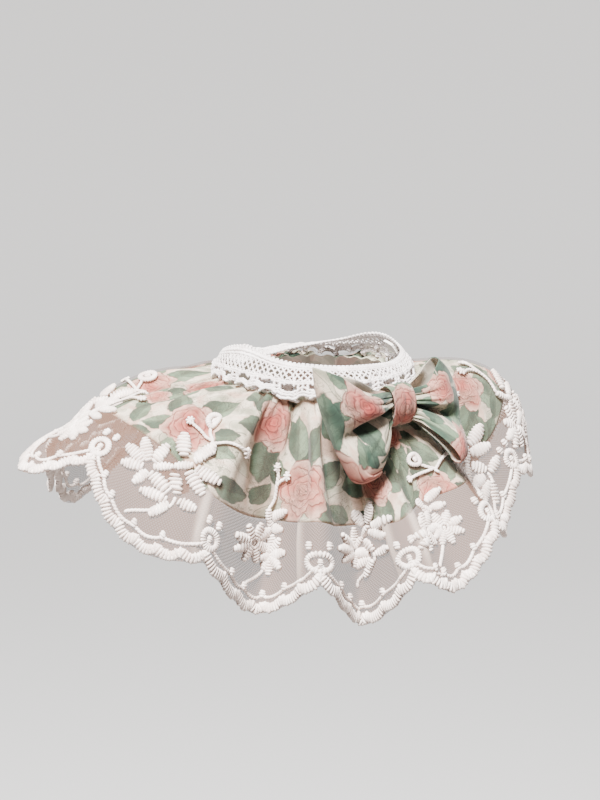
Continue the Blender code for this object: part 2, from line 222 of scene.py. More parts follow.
def profile_chart():
    """Points of the plain sheet on the chart, evenly spaced down each column."""
    across = np.arange(CHART_COLUMNS) / CHART_COLUMNS
    handles = [polar(SEAM_START + 360.0 * across, SEAM_RADIUS, SEAM_HEIGHT)]
    handles += [around(points, across * len(FOLDS)) for points in fold_handles()]
    step = np.linspace(0.0, 1.0, PROFILE_STEPS)[:, None, None]
    weights = ((1 - step)**3, 3 * step * (1 - step)**2, 3 * step**2 * (1 - step), step**3)
    dense = sum(weight * handle[None] for weight, handle in zip(weights, handles))
    lengths = np.linalg.norm(np.diff(dense, axis=0), axis=-1)
    travelled = np.vstack([np.zeros(CHART_COLUMNS), np.cumsum(lengths, axis=0)])
    travelled = travelled / travelled[-1]
    rows = np.linspace(0.0, 1.0, CHART_ROWS + 1)
    columns = [
        [np.interp(rows, travelled[:, column], dense[:, column, axis]) for axis in range(3)]
        for column in range(CHART_COLUMNS)
    ]
    return np.transpose(columns, (2, 0, 1))


def chart_slopes(chart):
    """Slopes of the chart for one unit across and one unit down."""
    slope_across = (np.roll(chart, -1, axis=1) - np.roll(chart, 1, axis=1)) * (0.5 * CHART_COLUMNS)
    return slope_across, np.gradient(chart, axis=0) * CHART_ROWS


def chart_normals(chart):
    across = np.roll(chart, -NORMAL_REACH, axis=1) - np.roll(chart, NORMAL_REACH, axis=1)
    return unit(np.cross(np.gradient(chart, axis=0), across))


def make_sheet():
    plain = profile_chart()
    across = np.broadcast_to(np.arange(CHART_COLUMNS) / CHART_COLUMNS, plain.shape[:2])
    down = np.broadcast_to(np.linspace(0.0, 1.0, CHART_ROWS + 1)[:, None], plain.shape[:2])
    width_of_repeat = np.linalg.norm(chart_slopes(plain)[0], axis=-1) / REPEATS
    height = gathers(across, down) + creases(across, down, width_of_repeat)
    return plain + height[..., None] * chart_normals(plain)


SHEET = make_sheet()
SHEET_NORMALS = chart_normals(SHEET)
SLOPE_ACROSS, SLOPE_DOWN = chart_slopes(SHEET)


def read_chart(chart, across, down):
    """A chart's value at any place, between its columns and rows."""
    column = (np.asarray(across) % 1.0) * CHART_COLUMNS
    row = np.clip(down, 0.0, 1.0) * CHART_ROWS
    left = np.floor(column).astype(int)
    top = np.minimum(np.floor(row).astype(int), CHART_ROWS - 1)
    part_across = (column - left)[..., None]
    part_down = (row - top)[..., None]
    left = left % CHART_COLUMNS
    right = (left + 1) % CHART_COLUMNS
    upper, lower = (
        chart[line, left] * (1 - part_across) + chart[line, right] * part_across
        for line in (top, top + 1)
    )
    return upper * (1 - part_down) + lower * part_down


def on_sheet(across, down, lift):
    """Points at a height over the sheet. Past the hem the sheet runs on straight."""
    beyond = np.maximum(np.asarray(down) - 1.0, 0.0)[..., None]
    points = read_chart(SHEET, across, down) + beyond * read_chart(SLOPE_DOWN, across, down)
    return points + np.asarray(lift)[..., None] * unit(read_chart(SHEET_NORMALS, across, down))


print("hem runs", round(float(np.linalg.norm(np.diff(SHEET[-8], axis=0), axis=-1).sum()), 3), "m")

# %% [markdown]
# ## Helpers for thin cloth
# A cloth starts as a flat grid whose UV map is the cut cloth. Each vertex is then moved to its
# place on the sheet, so the UV map stays true to the thread, and the print and the weave can
# follow it.

# %% Cloth from a grid
WELD = 0.01 * MM  # vertices closer than this become one


def lay_cloth(columns, rows, surface, cut, corner=(0.0, 0.0)):
    """A grid moved to surface(across, down). Its UV map is the cut, from a corner of the print."""
    mesh = bmesh.new()
    uv = mesh.loops.layers.uv.new("cloth")
    bmesh.ops.create_grid(mesh, x_segments=columns, y_segments=rows, size=0.5, calc_uvs=True)
    bmesh.ops.translate(mesh, vec=(0.5, 0.5, 0.0), verts=mesh.verts)
    for face in mesh.faces:
        for loop in face.loops:
            place = loop.vert.co
            loop[uv].uv = (place.x * cut[0] + corner[0], place.y * cut[1] + corner[1])
    flat = np.array([vert.co for vert in mesh.verts])
    for vert, point in zip(mesh.verts, surface(flat[:, 0], flat[:, 1])):
        vert.co = point
    return mesh, flat


def finish_mesh(name, mesh):
    data = bpy.data.meshes.new(name)
    mesh.to_mesh(data)
    mesh.free()
    data.shade_smooth()
    piece = bpy.data.objects.new(name, data)
    bpy.context.scene.collection.objects.link(piece)
    return piece


def apply_modifiers(piece):
    bpy.context.view_layer.update()
    evaluated = piece.evaluated_get(bpy.context.evaluated_depsgraph_get())
    data = bpy.data.meshes.new_from_object(evaluated)
    piece.modifiers.clear()
    piece.data = data
    data.name = piece.name
    triangles = sum(len(face.vertices) - 2 for face in data.polygons)
    print(piece.name, "has", triangles, "triangles")


def declare(piece, node=None):
    """Hides the solid that a piece stands for, if one is given, and makes the piece ride on the
    collar.
    """
    if node:
        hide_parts(node)
    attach(piece, "root")


# %% [markdown]
# ## Shader helpers
# Materials here are small networks. A socket is fed with another socket, which links them, or
# with a number, which sets it. A Value wraps a socket's number, so that plain arithmetic in the
# script adds the Math nodes, and a formula still reads as a formula.

# %% Node helpers
def plain(value):
    """A Value's socket, and anything else as it is."""
    return getattr(value, "socket", value)


def feed(tree, socket, value):
    value = plain(value)
    if isinstance(value, bpy.types.NodeSocket):
        tree.links.new(value, socket)
    else:
        socket.default_value = value


def add_node(tree, kind, inputs=None, **settings):
    node = tree.nodes.new(kind)
    for key, value in settings.items():
        setattr(node, key, value)
    for key, value in (inputs or {}).items():
        feed(tree, node.inputs[key], value)
    return node


class Value:
    def __init__(self, socket):
        self.socket = socket
        self.tree = socket.id_data

    def maths(self, operation, other=0.0, clamp=False):
        settings = {"operation": operation, "use_clamp": clamp}
        node = add_node(self.tree, "ShaderNodeMath", {0: self, 1: other}, **settings)
        return Value(node.outputs[0])

    def __add__(self, other):
        return self.maths("ADD", other)

    def __sub__(self, other):
        return self.maths("SUBTRACT", other)

    def __mul__(self, other):
        return self.maths("MULTIPLY", other)

    def __pow__(self, other):
        return self.maths("POWER", other)

    def __abs__(self):
        return self.maths("ABSOLUTE")

    def ramp(self, low, high):
        """Runs smoothly from 0 at low to 1 at high; low may be the greater."""
        inputs = {"Value": self, "From Min": low, "From Max": high}
        node = add_node(self.tree, "ShaderNodeMapRange", inputs, interpolation_type="SMOOTHSTEP")
        return Value(node.outputs["Result"])


def mix_colours(share, first, second, blend="MIX"):
    """The first colour where share is 0, and the second where it is 1."""
    sockets = [plain(value) for value in (share, first, second)]
    tree = next(value.id_data for value in sockets if isinstance(value, bpy.types.NodeSocket))
    node = add_node(tree, "ShaderNodeMix", data_type="RGBA", blend_type=blend)
    for key, value in zip(("Factor", "A", "B"), sockets):
        feed(tree, next(s for s in node.inputs if s.name == key and s.enabled), value)
    return next(s for s in node.outputs if s.enabled)


def noise(place, scale, detail, distortion=0.0):
    inputs = {"Vector": place, "Scale": scale, "Detail": detail, "Distortion": distortion}
    return Value(add_node(place.id_data, "ShaderNodeTexNoise", inputs).outputs["Fac"])


def split(vector):
    node = add_node(vector.id_data, "ShaderNodeSeparateXYZ", {0: vector})
    return [Value(socket) for socket in node.outputs]


def attribute(tree, name, output):
    return add_node(tree, "ShaderNodeAttribute", attribute_name=name).outputs[output]


def cloth_map(tree):
    return add_node(tree, "ShaderNodeUVMap", uv_map="cloth").outputs["UV"]


def new_group(name, inputs, outputs, kind="Shader"):
    """An empty node group with named sockets, and the sockets of its two ends."""
    group = bpy.data.node_groups.new(name, f"{kind}NodeTree")
    for way, sockets in (("INPUT", inputs), ("OUTPUT", outputs)):
        for label, number in sockets.items():
            group.interface.new_socket(label, in_out=way, socket_type=f"NodeSocket{number}")
    ends = [group.nodes.new(f"NodeGroup{end}") for end in ("Input", "Output")]
    return group, ends[0].outputs, ends[1].inputs


def use_group(tree, group, **inputs):
    return add_node(tree, "ShaderNodeGroup", inputs, node_tree=group).outputs


def new_material(name, roughness, sheen=0.0):
    material = bpy.data.materials.new(name)
    material.use_nodes = True
    shader = material.node_tree.nodes["Principled BSDF"].inputs
    shader["Roughness"].default_value = roughness
    shader["Sheen Weight"].default_value = sheen
    shader["Sheen Roughness"].default_value = 0.5
    shader["Specular IOR Level"].default_value = 0.3
    return material, material.node_tree, shader


def bump_into(tree, shader, height, distance, strength):
    inputs = {"Height": height, "Distance": distance, "Strength": strength}
    feed(tree, shader["Normal"], add_node(tree, "ShaderNodeBump", inputs).outputs["Normal"])


# %% [markdown]
# ## The printed cotton
# The cotton lawn has washed roses, sage leaves and thin ink lines on cream. A printed repeat is
# charted: a table of blooms and a table of leaves, with places on the flat cloth. Each face of the
# cloth then remembers where it lies on the nearest bloom and leaf, and one shader draws them all.
# That keeps the print sharp without any image.

# %% The print's repeat
PRINT_ROUND = 0.62  # metres of print round the strip
PRINT_REPEAT = PRINT_ROUND / 2  # the repeat comes twice round
PRINT_DEPTH = 0.104  # metres of print from the seam to the net's hem
LEAF_SHAPE = 0.56  # width of a leaf as a share of its length
LEAVES_A_BLOOM = 5

# x, y  middle on the repeat, mm: along the strip, and down from the seam
# size  radius of a bloom, or length of a leaf, mm
# turn  in degrees from the strip's length
# tone  0 palest to 1 deepest
Motif = namedtuple("Motif", "x y size turn tone")
BLOOMS = [Motif(*row) for row in (
    (39, 45, 14.5, 20, 0.25), (14, 15, 13.0, 140, 0.85), (285, 42, 13.0, 75, 0.65),
    (248, 13, 11.0, 200, 0.70), (202, 34, 11.5, 300, 0.45), (90, 40, 10.5, 120, 0.75),
    (128, 57, 10.0, 40, 0.55), (78, 12, 10.0, 10, 0.40), (158, 22, 11.0, 240, 0.60),
    (118, 24, 7.0, 60, 0.30), (225, 57, 9.0, 330, 0.50), (178, 60, 7.5, 90, 0.35),
    (246, 36, 7.0, 160, 0.30),
)]
LEAVES = [Motif(*row) for row in (
    (271, 12, 21, 35, 0.65), (262, 24, 15, 110, 0.30), (268, 34, 15, 150, 0.55),
    (291, 20, 17, 70, 0.25), (302, 34, 14, 30, 0.80), (3, 53, 17, 15, 0.85),
    (16, 48, 13, 60, 0.60), (24, 37, 14, 120, 0.45), (34, 21, 22, 95, 0.30),
    (47, 24, 19, 70, 0.75), (57, 14, 17, 110, 0.50), (59, 36, 17, 45, 0.55),
    (62, 54, 15, 160, 0.35), (72, 30, 16, 80, 0.65), (80, 56, 14, 20, 0.50),
    (96, 20, 18, 60, 0.40), (105, 36, 18, 100, 0.70), (113, 47, 20, 75, 0.60),
    (104, 58, 14, 10, 0.30), (135, 12, 17, 30, 0.55), (133, 36, 18, 130, 0.45),
    (146, 46, 16, 60, 0.70), (158, 56, 17, 170, 0.50), (173, 40, 18, 100, 0.60),
    (182, 15, 19, 150, 0.35), (189, 52, 18, 60, 0.75), (199, 12, 15, 80, 0.60),
    (206, 54, 15, 20, 0.40), (221, 38, 18, 110, 0.65), (222, 16, 19, 40, 0.50),
    (240, 54, 17, 70, 0.70), (258, 50, 16, 120, 0.45), (268, 60, 14, 30, 0.60),
    (300, 60, 15, 160, 0.40), (300, 8, 13, 170, 0.55), (26, 4, 13, 20, 0.40),
)]


def leaves_behind(number, bloom):
    """A ring of leaves that look out from behind a bloom."""
    for index in range(LEAVES_A_BLOOM):
        turn = bloom.turn + 360.0 * index / LEAVES_A_BLOOM + 14.0 * math.sin(5.0 * index + number)
        length = 19.0 + 4.0 * math.sin(3.0 * index + 2.0 * number)
        reach = 0.80 * bloom.size + 0.30 * length
        x = bloom.x + reach * math.cos(math.radians(turn))
        y = bloom.y - reach * math.sin(math.radians(turn))
        yield Motif(x, y, length, turn, 0.45 + 0.45 * math.sin(7.0 * index + number))


UNDER_LEAVES = [leaf for pair in enumerate(BLOOMS) for leaf in leaves_behind(*pair)]


def chart_print(piece, layer, motifs, half_length, half_width):
    """Stores, at each face corner, its place on the nearest motif and the motif's tone.

    A motif's half length and half width are given as shares of its size. A place on it is counted
    in them, and so is nearness.
    """
    data = piece.data
    repeat = PRINT_REPEAT / MM
    corner_uv = np.empty(2 * len(data.loops))
    data.uv_layers["cloth"].data.foreach_get("uv", corner_uv)
    corner = corner_uv.reshape(-1, 2) / MM
    starts = np.array([face.loop_start for face in data.polygons])
    totals = np.array([face.loop_total for face in data.polygons])
    centres = np.add.reduceat(corner, starts, axis=0) / totals[:, None]
    face_of = np.repeat(np.arange(len(starts)), totals)
    nearest = np.full(len(centres), np.inf)
    value = np.zeros((len(corner), 3))
    for motif in motifs:
        shift = np.round((centres[:, 0] - motif.x) / repeat) * repeat
        cosine, sine = math.cos(math.radians(motif.turn)), math.sin(math.radians(motif.turn))
        to_motif = np.array([[cosine, -sine], [sine, cosine]])
        to_motif /= motif.size * np.array([[half_length], [half_width]])
        middle = np.stack([motif.x + shift, motif.y + 0.0 * shift], axis=-1)
        distance = np.linalg.norm((centres - middle) @ to_motif.T, axis=-1)
        nearer = distance < nearest
        nearest[nearer] = distance[nearer]
        here = nearer[face_of]
        value[here, :2] = (corner[here] - middle[face_of[here]]) @ to_motif.T
        value[here, 2] = motif.tone
    stored = data.attributes.new(layer, "FLOAT_VECTOR", "CORNER")
    stored.data.foreach_set("vector", value.astype(np.float32).ravel())


def print_cotton(piece):
    """Charts the blooms and both layers of leaves on a piece of cotton."""
    chart_print(piece, "bloom", BLOOMS, 1.0, 1.0)
    chart_print(piece, "leaf", LEAVES, 0.5, 0.5 * LEAF_SHAPE)
    chart_print(piece, "under_leaf", UNDER_LEAVES, 0.5, 0.5 * LEAF_SHAPE)


# %% [markdown]
# A bloom is rings of petals, one inside the next. Each ring's edge swells and dips with its
# petals. Just outside the next ring in it is shaded, and toward its own edge it fades, which is
# how a washed rose is painted. A thin broken ink line follows each edge. A leaf is a pointed oval
# with one pale side, a middle vein and slanting side veins.

# %% Bloom and leaf groups
# all colours are linear
CREAM = (0.680, 0.590, 0.465, 1.0)
PALE_PINK = (0.580, 0.210, 0.150, 1.0)
SOFT_CORAL = (0.420, 0.068, 0.050, 1.0)
DEEP_CORAL = (0.190, 0.014, 0.015, 1.0)
BLOOM_INK = (0.120, 0.016, 0.016, 1.0)
PALE_SAGE = (0.180, 0.250, 0.160, 1.0)
SAGE = (0.040, 0.088, 0.056, 1.0)
DEEP_GREEN = (0.016, 0.038, 0.027, 1.0)
LEAF_INK = (0.016, 0.028, 0.020, 1.0)

# reach  of the ring, as a share of the bloom's radius
# count  of its petals, and turn, that of the first
# fade   how far it fades toward the ground at its edge
Petals = namedtuple("Petals", "reach count turn fade")
PETAL_RINGS = [Petals(*row) for row in (
    (1.0, 5, 0.3, 0.55), (0.76, 5, 1.1, 0.22), (0.54, 4, 2.0, 0.10), (0.33, 3, 0.7, 0.0),
    (0.16, 3, 1.9, 0.0),
)]


def motif_group(name):
    """A group that will draw a motif over a ground, and what it is given."""
    inputs = {"Place": "Vector", "Ground": "Color", "Wash": "Float"}
    group, given, output = new_group(name, inputs, {"Colour": "Color"})
    return group, output, given["Place"], given["Ground"], Value(given["Wash"])


def bloom_group():
    group, output, place, colour, wash = motif_group("washed bloom")
    x, y, tone = split(place)
    wobble = noise(place, scale=2.6, detail=2.0)
    radius = (x * x + y * y).maths("SQRT") + (wobble - 0.5) * 0.45
    angle = y.maths("ARCTAN2", x)
    deep = mix_colours(tone, SOFT_CORAL, DEEP_CORAL)
    light = mix_colours(tone, PALE_PINK, SOFT_CORAL)
    edges = []
    for ring in PETAL_RINGS:
        lobe = abs((angle * (0.5 * ring.count) + ring.turn).maths("COSINE"))
        edges.append(lobe * (0.26 * ring.reach) + 0.78 * ring.reach)
    ink = 0.0
    for ring, edge, inner in zip(PETAL_RINGS, edges, edges[1:] + [0.0]):
        share = (radius - inner).maths("DIVIDE", edge - inner, clamp=True) ** 0.7
        petal = mix_colours(share, deep, light)
        petal = mix_colours(share * ring.fade, petal, CREAM)
        petal = mix_colours(wash * 0.26, petal, CREAM)
        colour = mix_colours((edge - radius).ramp(-0.015, 0.02), colour, petal)
        ink = abs(radius - edge).ramp(0.034, 0.014).maths("MAXIMUM", ink)
    broken = wobble.ramp(0.36, 0.50) * 0.72
    feed(group, output["Colour"], mix_colours(ink * broken, colour, BLOOM_INK))
    return group


def leaf_group():
    group, output, place, ground, wash = motif_group("washed leaf")
    x, y, tone = split(place)
    aside = abs((noise(place, scale=3.0, detail=2.0) - 0.5) * 0.5 + y)
    inside = (x * x * -1.0 + 1.0) * (x * -0.28 + 1.0) - aside
    green = mix_colours(tone, PALE_SAGE, SAGE)
    green = mix_colours(x.ramp(-0.2, 0.9) * 0.40, green, PALE_SAGE)
    dark = mix_colours(tone, SAGE, DEEP_GREEN)
    colour = mix_colours(y.ramp(-0.3, 0.3), dark, green)
    colour = mix_colours(wash * 0.55, colour, green)
    side_vein = abs(((aside * -0.55 + x) * 3.2).maths("FRACT") - 0.5).ramp(0.07, 0.02)
    vein = side_vein.maths("MAXIMUM", aside.ramp(0.09, 0.03))
    colour = mix_colours(vein * 0.42, colour, LEAF_INK)
    colour = mix_colours(inside.ramp(0.0, 0.05), ground, colour)
    edge = abs(inside).ramp(0.07, 0.02) * 0.60
    feed(group, output["Colour"], mix_colours(edge, colour, LEAF_INK))
    return group


# %% [markdown]
# The whole print is a cream ground with faint washes and tendrils, then leaves, then blooms. A
# mottle and fine sketch lines run over all of it. The weave is a bump, because a lawn's threads
# are too fine to be seen as a shape.

# %% The whole print
# a tone used twice: the print's random mottle, and the painted shade that darkens the whole bow
MOTTLE_AND_PAINTED_SHADE = (0.50, 0.47, 0.45, 1.0)
REVERSE_CREAM = (0.62, 0.53, 0.45, 1.0)
SKETCH_LEVELS = (0.40, 0.48, 0.57)
LAWN_PITCH = 0.45 * MM


def print_group():
    group, _, output = new_group("floral print", {}, {"Colour": "Color", "Weave": "Float"})
    cloth = cloth_map(group)
    wash = noise(cloth, scale=90.0, detail=3.0).ramp(0.38, 0.66)
    faint = noise(cloth, scale=55.0, detail=1.0, distortion=1.2)
    colour = mix_colours(faint.ramp(0.50, 0.62) * 0.55, CREAM, PALE_SAGE)
    colour = mix_colours(faint.ramp(0.44, 0.34) * 0.35, colour, PALE_PINK)
    tendril = abs(faint - 0.53).ramp(0.012, 0.005) * 0.60
    colour = mix_colours(tendril, colour, SAGE)
    leaf, bloom = leaf_group(), bloom_group()
    for layer, motif in (("under_leaf", leaf), ("leaf", leaf), ("bloom", bloom)):
        place = attribute(group, layer, "Vector")
        colour = use_group(group, motif, Place=place, Ground=colour, Wash=wash)["Colour"]
    mottle = noise(cloth, scale=150.0, detail=3.0).ramp(0.40, 0.60) * 0.55
    colour = mix_colours(mottle, colour, MOTTLE_AND_PAINTED_SHADE, "MULTIPLY")
    sketch = noise(cloth, scale=165.0, detail=1.5, distortion=1.8)
    for level in SKETCH_LEVELS:
        line = abs(sketch - level).ramp(0.016, 0.006) * 0.75
        colour = mix_colours(line * wash, colour, LEAF_INK)
    warp, weft = ((axis * (FULL_TURN / LAWN_PITCH)).maths("SINE") for axis in split(cloth)[:2])
    feed(group, output["Colour"], colour)
    feed(group, output["Weave"], warp * weft * 0.5 + 0.5)
    return group


PRINT_GROUP = print_group()


def cotton_material(name, fade=0.0, depth=0.0):
    """Printed cotton; fade washes the print toward cream, as on the cloth's reverse.

    depth darkens it all over, painted shade for the shade in the bow's folds.
    """
    material, tree, shader = new_material(name, 0.82, sheen=0.12)
    printed = use_group(tree, PRINT_GROUP)
    colour = mix_colours(fade, printed["Colour"], REVERSE_CREAM)
    # painted shade: depth multiplies the whole print darker
    feed(tree, shader["Base Color"], mix_colours(depth, colour, MOTTLE_AND_PAINTED_SHADE, "MULTIPLY"))
    bump_into(tree, shader, printed["Weave"], 0.06 * MM, 0.5)
    return material


COTTON = cotton_material("printed cotton")
COTTON_REVERSE = cotton_material("printed cotton, wrong side", fade=0.55)
# the bow's cloth is darkened all over, painted shade for its pleats and folds
SHADED_BOW_COTTON = cotton_material("printed cotton, doubled", depth=0.60)
print("print:", len(BLOOMS), "blooms and", len(LEAVES) + len(UNDER_LEAVES), "leaves in a repeat")

# %% [markdown]
# ## The cotton ruffle
# A strip of the print, gathered at the neck and cut straight below, lies under the net. It is a
# thin shell in the middle of its solid's wall. The inner faces take a second material, because a
# printed cloth is paler on its wrong side.

# %% Cotton ruffle
COTTON_LIFT = 0.5 * MM
COTTON_THICKNESS = 0.35 * MM
COTTON_GRID = (60 * REPEATS, 44)  # columns and rows
COTTON_PRINT = (PRINT_ROUND, FLORAL_SHARE * PRINT_DEPTH)


def cotton_piece(name, mesh, front, thickness, node, slot, **cut):
    """Finishes a printed piece: its wall, its two sides and its print, and hides the solid it
    stands for.
    """
    piece = finish_mesh(name, mesh)
    for material in (front, COTTON_REVERSE):
        piece.data.materials.append(material)
    wall = piece.modifiers.new("thickness", "SOLIDIFY")
    wall.thickness = thickness
    wall.offset = 0.0
    wall.material_offset = 1
    apply_modifiers(piece)
    print_cotton(piece)
    declare(piece, node)


def cotton_surface(across, down):
    return on_sheet(across, FLORAL_SHARE * down, COTTON_LIFT)


cotton, _ = lay_cloth(*COTTON_GRID, cotton_surface, COTTON_PRINT)
bmesh.ops.remove_doubles(cotton, verts=cotton.verts, dist=WELD)
bmesh.ops.recalc_face_normals(cotton, faces=cotton.faces)
cotton_piece(
    "cotton_ruffle", cotton, COTTON, COTTON_THICKNESS, "floral_ruffle", "floral_cotton",
    flat=(0.70, 0.055), held="gathered", rests_on=["neckband"], area=0.034,
)

# %% [markdown]
# ## The net ruffle
# The net is a fine even mesh that can hardly be seen, so it is one surface with an alpha. A chart
# of tiny six-sided meshes gives its threads. It is denser where it is tucked, and along its
# creases. Its white thread is coloured a dark warm brown, painted shade, and a lighter brown on
# the tucks.

# %% Net ruffle
NET_LIFT = 1.8 * MM
NET_MESH = 0.9 * MM
# the net's thread is white; both its colours are painted shade, a dark warm brown, lighter where
# it is tucked
NET_PAINTED_SHADE = (0.120, 0.058, 0.036, 1.0)
TUCK_PAINTED_SHADE = (0.400, 0.325, 0.280, 1.0)
NET_GRID = (70 * REPEATS, 66)
NET_CUT = (0.74, 0.10)
NET_BODY, NET_THREAD, NET_TUCK = 0.42, 0.30, 0.30  # alpha of each
HIDDEN_OVER_COTTON = 0.72  # share of the alpha lost where the print backs the net


def net_material():
    material, tree, shader = new_material("fine net", 0.8)
    x, y, _ = split(cloth_map(tree))
    threads = 0.0
    for turn in (30.0, 90.0, 150.0):
        angle = math.radians(turn)
        place = y * (math.sin(angle) / NET_MESH) + x * (math.cos(angle) / NET_MESH)
        line = abs(place.maths("FRACT") - 0.5).ramp(0.18, 0.06)
        threads = line.maths("MAXIMUM", threads)
    tuck = Value(attribute(tree, "tuck", "Fac"))
    over = Value(attribute(tree, "over_cotton", "Fac"))
    alpha = (threads * NET_THREAD + NET_BODY).maths("ADD", tuck * NET_TUCK, clamp=True)
    feed(tree, shader["Alpha"], alpha * (over * -HIDDEN_OVER_COTTON + 1.0))
    # painted shade: the net is coloured dark brown, less dark on the tucks
    feed(tree, shader["Base Color"], mix_colours(tuck * 0.8, NET_PAINTED_SHADE, TUCK_PAINTED_SHADE))
    bump_into(tree, shader, threads, 0.1 * MM, 0.3)
    return material


def net_attributes(piece, across, down):
    """How tucked the net is, and whether cotton backs it, at each vertex."""
    width_of_repeat = np.linalg.norm(read_chart(SLOPE_ACROSS, across, down), axis=-1) / REPEATS
    ridge = creases(across, down, width_of_repeat) / MM
    tuck = np.clip(ridge - 0.15, 0.0, 1.0) * smooth_step((down - FLORAL_SHARE + 0.05) / 0.05)
    backed = smooth_step((FLORAL_SHARE - down) / 0.012 + 0.5)
    for name, values in (("tuck", tuck), ("over_cotton", backed)):
        stored = piece.data.attributes.new(name, "FLOAT", "POINT")
        stored.data.foreach_set("value", values.astype(np.float32))


def net_surface(across, down):
    return on_sheet(across, down * scallop(across), NET_LIFT)


def net_ruffle():
    mesh, flat = lay_cloth(*NET_GRID, net_surface, (NET_CUT[0], PRINT_DEPTH))
    bmesh.ops.recalc_face_normals(mesh, faces=mesh.faces)
    piece = finish_mesh("net_ruffle_cloth", mesh)
    net_attributes(piece, flat[:, 0], flat[:, 1] * scallop(flat[:, 0]))
    merge = bmesh.new()
    merge.from_mesh(piece.data)
    bmesh.ops.remove_doubles(merge, verts=merge.verts, dist=WELD)
    merge.to_mesh(piece.data)
    merge.free()
    piece.data.materials.append(net_material())
    print(piece.name, "has", 2 * len(piece.data.polygons), "triangles")
    declare(piece, "net_ruffle")
    return piece


net = net_ruffle()

# %% [markdown]
# ## Sewing with thread
# Satin stitch shows as plump bars of thread, side by side. Each bar is one small rounded rod. The
# rods are scattered with Geometry Nodes: every point carries the turn and the size of its stitch,
# and the instances are then made real. One rod has only a few dozen faces.

# %% The rod and the sewing nodes
ROD_SIDES = 6
ROD_RINGS = 4
ROD_FULLNESS = 0.45  # 1 for an egg, 0 for a plain tube


def thread_rod():
    """A rod of radius 1 along X, from -1 to 1, with full rounded ends."""
    mesh = bmesh.new()
    bmesh.ops.create_uvsphere(mesh, u_segments=ROD_SIDES, v_segments=ROD_RINGS, radius=1.0)
    quarter = Matrix.Rotation(math.radians(90.0), 3, "Y")
    bmesh.ops.rotate(mesh, verts=mesh.verts, matrix=quarter)
    for vert in mesh.verts:
        radius = math.hypot(vert.co.y, vert.co.z)
        if radius > 0.01:
            fuller = radius**ROD_FULLNESS / radius
            vert.co.y *= fuller
            vert.co.z *= fuller
    return finish_mesh("thread_rod", mesh)


def sewing_nodes(rod):
    shape = {"Geometry": "Geometry"}
    group, given, output = new_group("sew rods", shape, shape, kind="Geometry")

    def carried(name, kind):
        node = add_node(group, "GeometryNodeInputNamedAttribute", {"Name": name}, data_type=kind)
        return node.outputs["Attribute"]

    placed = add_node(group, "GeometryNodeInstanceOnPoints", {
        "Points": given["Geometry"],
        "Instance": add_node(group, "GeometryNodeObjectInfo", {"Object": rod}).outputs["Geometry"],
        "Rotation": carried("turn", "QUATERNION"),
        "Scale": carried("size", "FLOAT_VECTOR"),
    })
    real = add_node(group, "GeometryNodeRealizeInstances", {"Geometry": placed.outputs[0]})
    feed(group, output["Geometry"], real.outputs[0])
    return group


ROD = thread_rod()
SEWING = sewing_nodes(ROD)


def sew(name, stitches, material, node=None):
    """Makes one piece of many stitches; each is (middle, along, outward, size)."""
    middles, along, outward, size = (np.concatenate(part) for part in zip(*stitches))
    along = unit(along)
    outward = unit(outward - (outward * along).sum(-1, keepdims=True) * along)
    axes = np.stack([along, np.cross(outward, along), outward], axis=-1)
    turns = np.array([Matrix(turn).to_quaternion() for turn in axes])
    data = bpy.data.meshes.new(name)
    data.from_pydata(middles.tolist(), [], [])
    for label, kind, key, values in (
        ("turn", "QUATERNION", "value", turns), ("size", "FLOAT_VECTOR", "vector", size)
    ):
        stored = data.attributes.new(label, kind, "POINT").data
        stored.foreach_set(key, values.astype(np.float32).ravel())
    piece = bpy.data.objects.new(name, data)
    bpy.context.scene.collection.objects.link(piece)
    piece.modifiers.new("sewing", "NODES").node_group = SEWING
    apply_modifiers(piece)
    piece.data.shade_smooth()
    piece.data.materials.clear()  # the rods bring an empty slot with them
    piece.data.materials.append(material)
    declare(piece, node)
    return piece


# %% [markdown]
# The thread is white cotton with a soft sheen. Its colour is mixed in random patches with a
# warmer, darker copy, which is painted shade, and a fine grain of fuzz keeps the highlights dull.

# %% Thread material
def thread_material(name, colour, shade, grain):
    material, tree, shader = new_material(name, 0.62, sheen=0.25)
    place = add_node(tree, "ShaderNodeTexCoord").outputs["Object"]
    soft = noise(place, scale=220.0, detail=2.0).ramp(0.35, 0.7)
    # painted shade: the darker shade colour is mixed in where the noise is low
    feed(tree, shader["Base Color"], mix_colours(soft, shade, colour))
    bump_into(tree, shader, noise(place, scale=grain, detail=3.0), 0.12 * MM, 0.6)
    return material


# each thread has its colour and a darker, warmer copy of it, painted shade
EMBROIDERY = thread_material(
    "embroidery thread", (0.84, 0.745, 0.695, 1.0), (0.66, 0.555, 0.505, 1.0), 2600.0
)
CROCHET = thread_material(
    "crochet cotton", (0.82, 0.765, 0.750, 1.0), (0.66, 0.595, 0.580, 1.0), 2200.0
)

# %% [markdown]
# ## Laying stitches on the net
# A motif is drawn flat, in millimetres round its own middle, and then laid on the sheet at its
# place, so it keeps its size however the cloth is stretched there. A line of stitches follows a
# path on the sheet at an even pitch, across it for blanket stitch and satin stitch, or along it
# for a cord.

# %% Placing stitches
STITCH_PITCH = 1.45 * MM
THREAD_LIFT = NET_LIFT + 0.1 * MM  # stitches go through the net and show on both sides
CORD_PITCH = 1.5  # mm
CORD_SLANT = 14.0  # degrees that each rod of a cord is turned from its path
random_thread = np.random.default_rng(5)


def frame_at(across, down):
    """Directions on the sheet: along the hem, up toward the neck, and outward."""
    outward = unit(read_chart(SHEET_NORMALS, across, down))
    hemward = unit(read_chart(SLOPE_ACROSS, across, down))
    upward = unit(np.cross(outward, hemward))
    falls = (upward * read_chart(SLOPE_DOWN, across, down)).sum(-1, keepdims=True) > 0
    return hemward, np.where(falls, -upward, upward), outward


def flat_to_sheet(centre, x, y):
    """Places on the sheet for flat millimetres round a centre given as (repeat, down)."""
    across, down = centre[0] / REPEATS, centre[1]
    wide, deep = (
        np.linalg.norm(read_chart(slope, across, down)) for slope in (SLOPE_ACROSS, SLOPE_DOWN)
    )
    return across + np.asarray(x) * MM / wide, down - np.asarray(y) * MM / deep


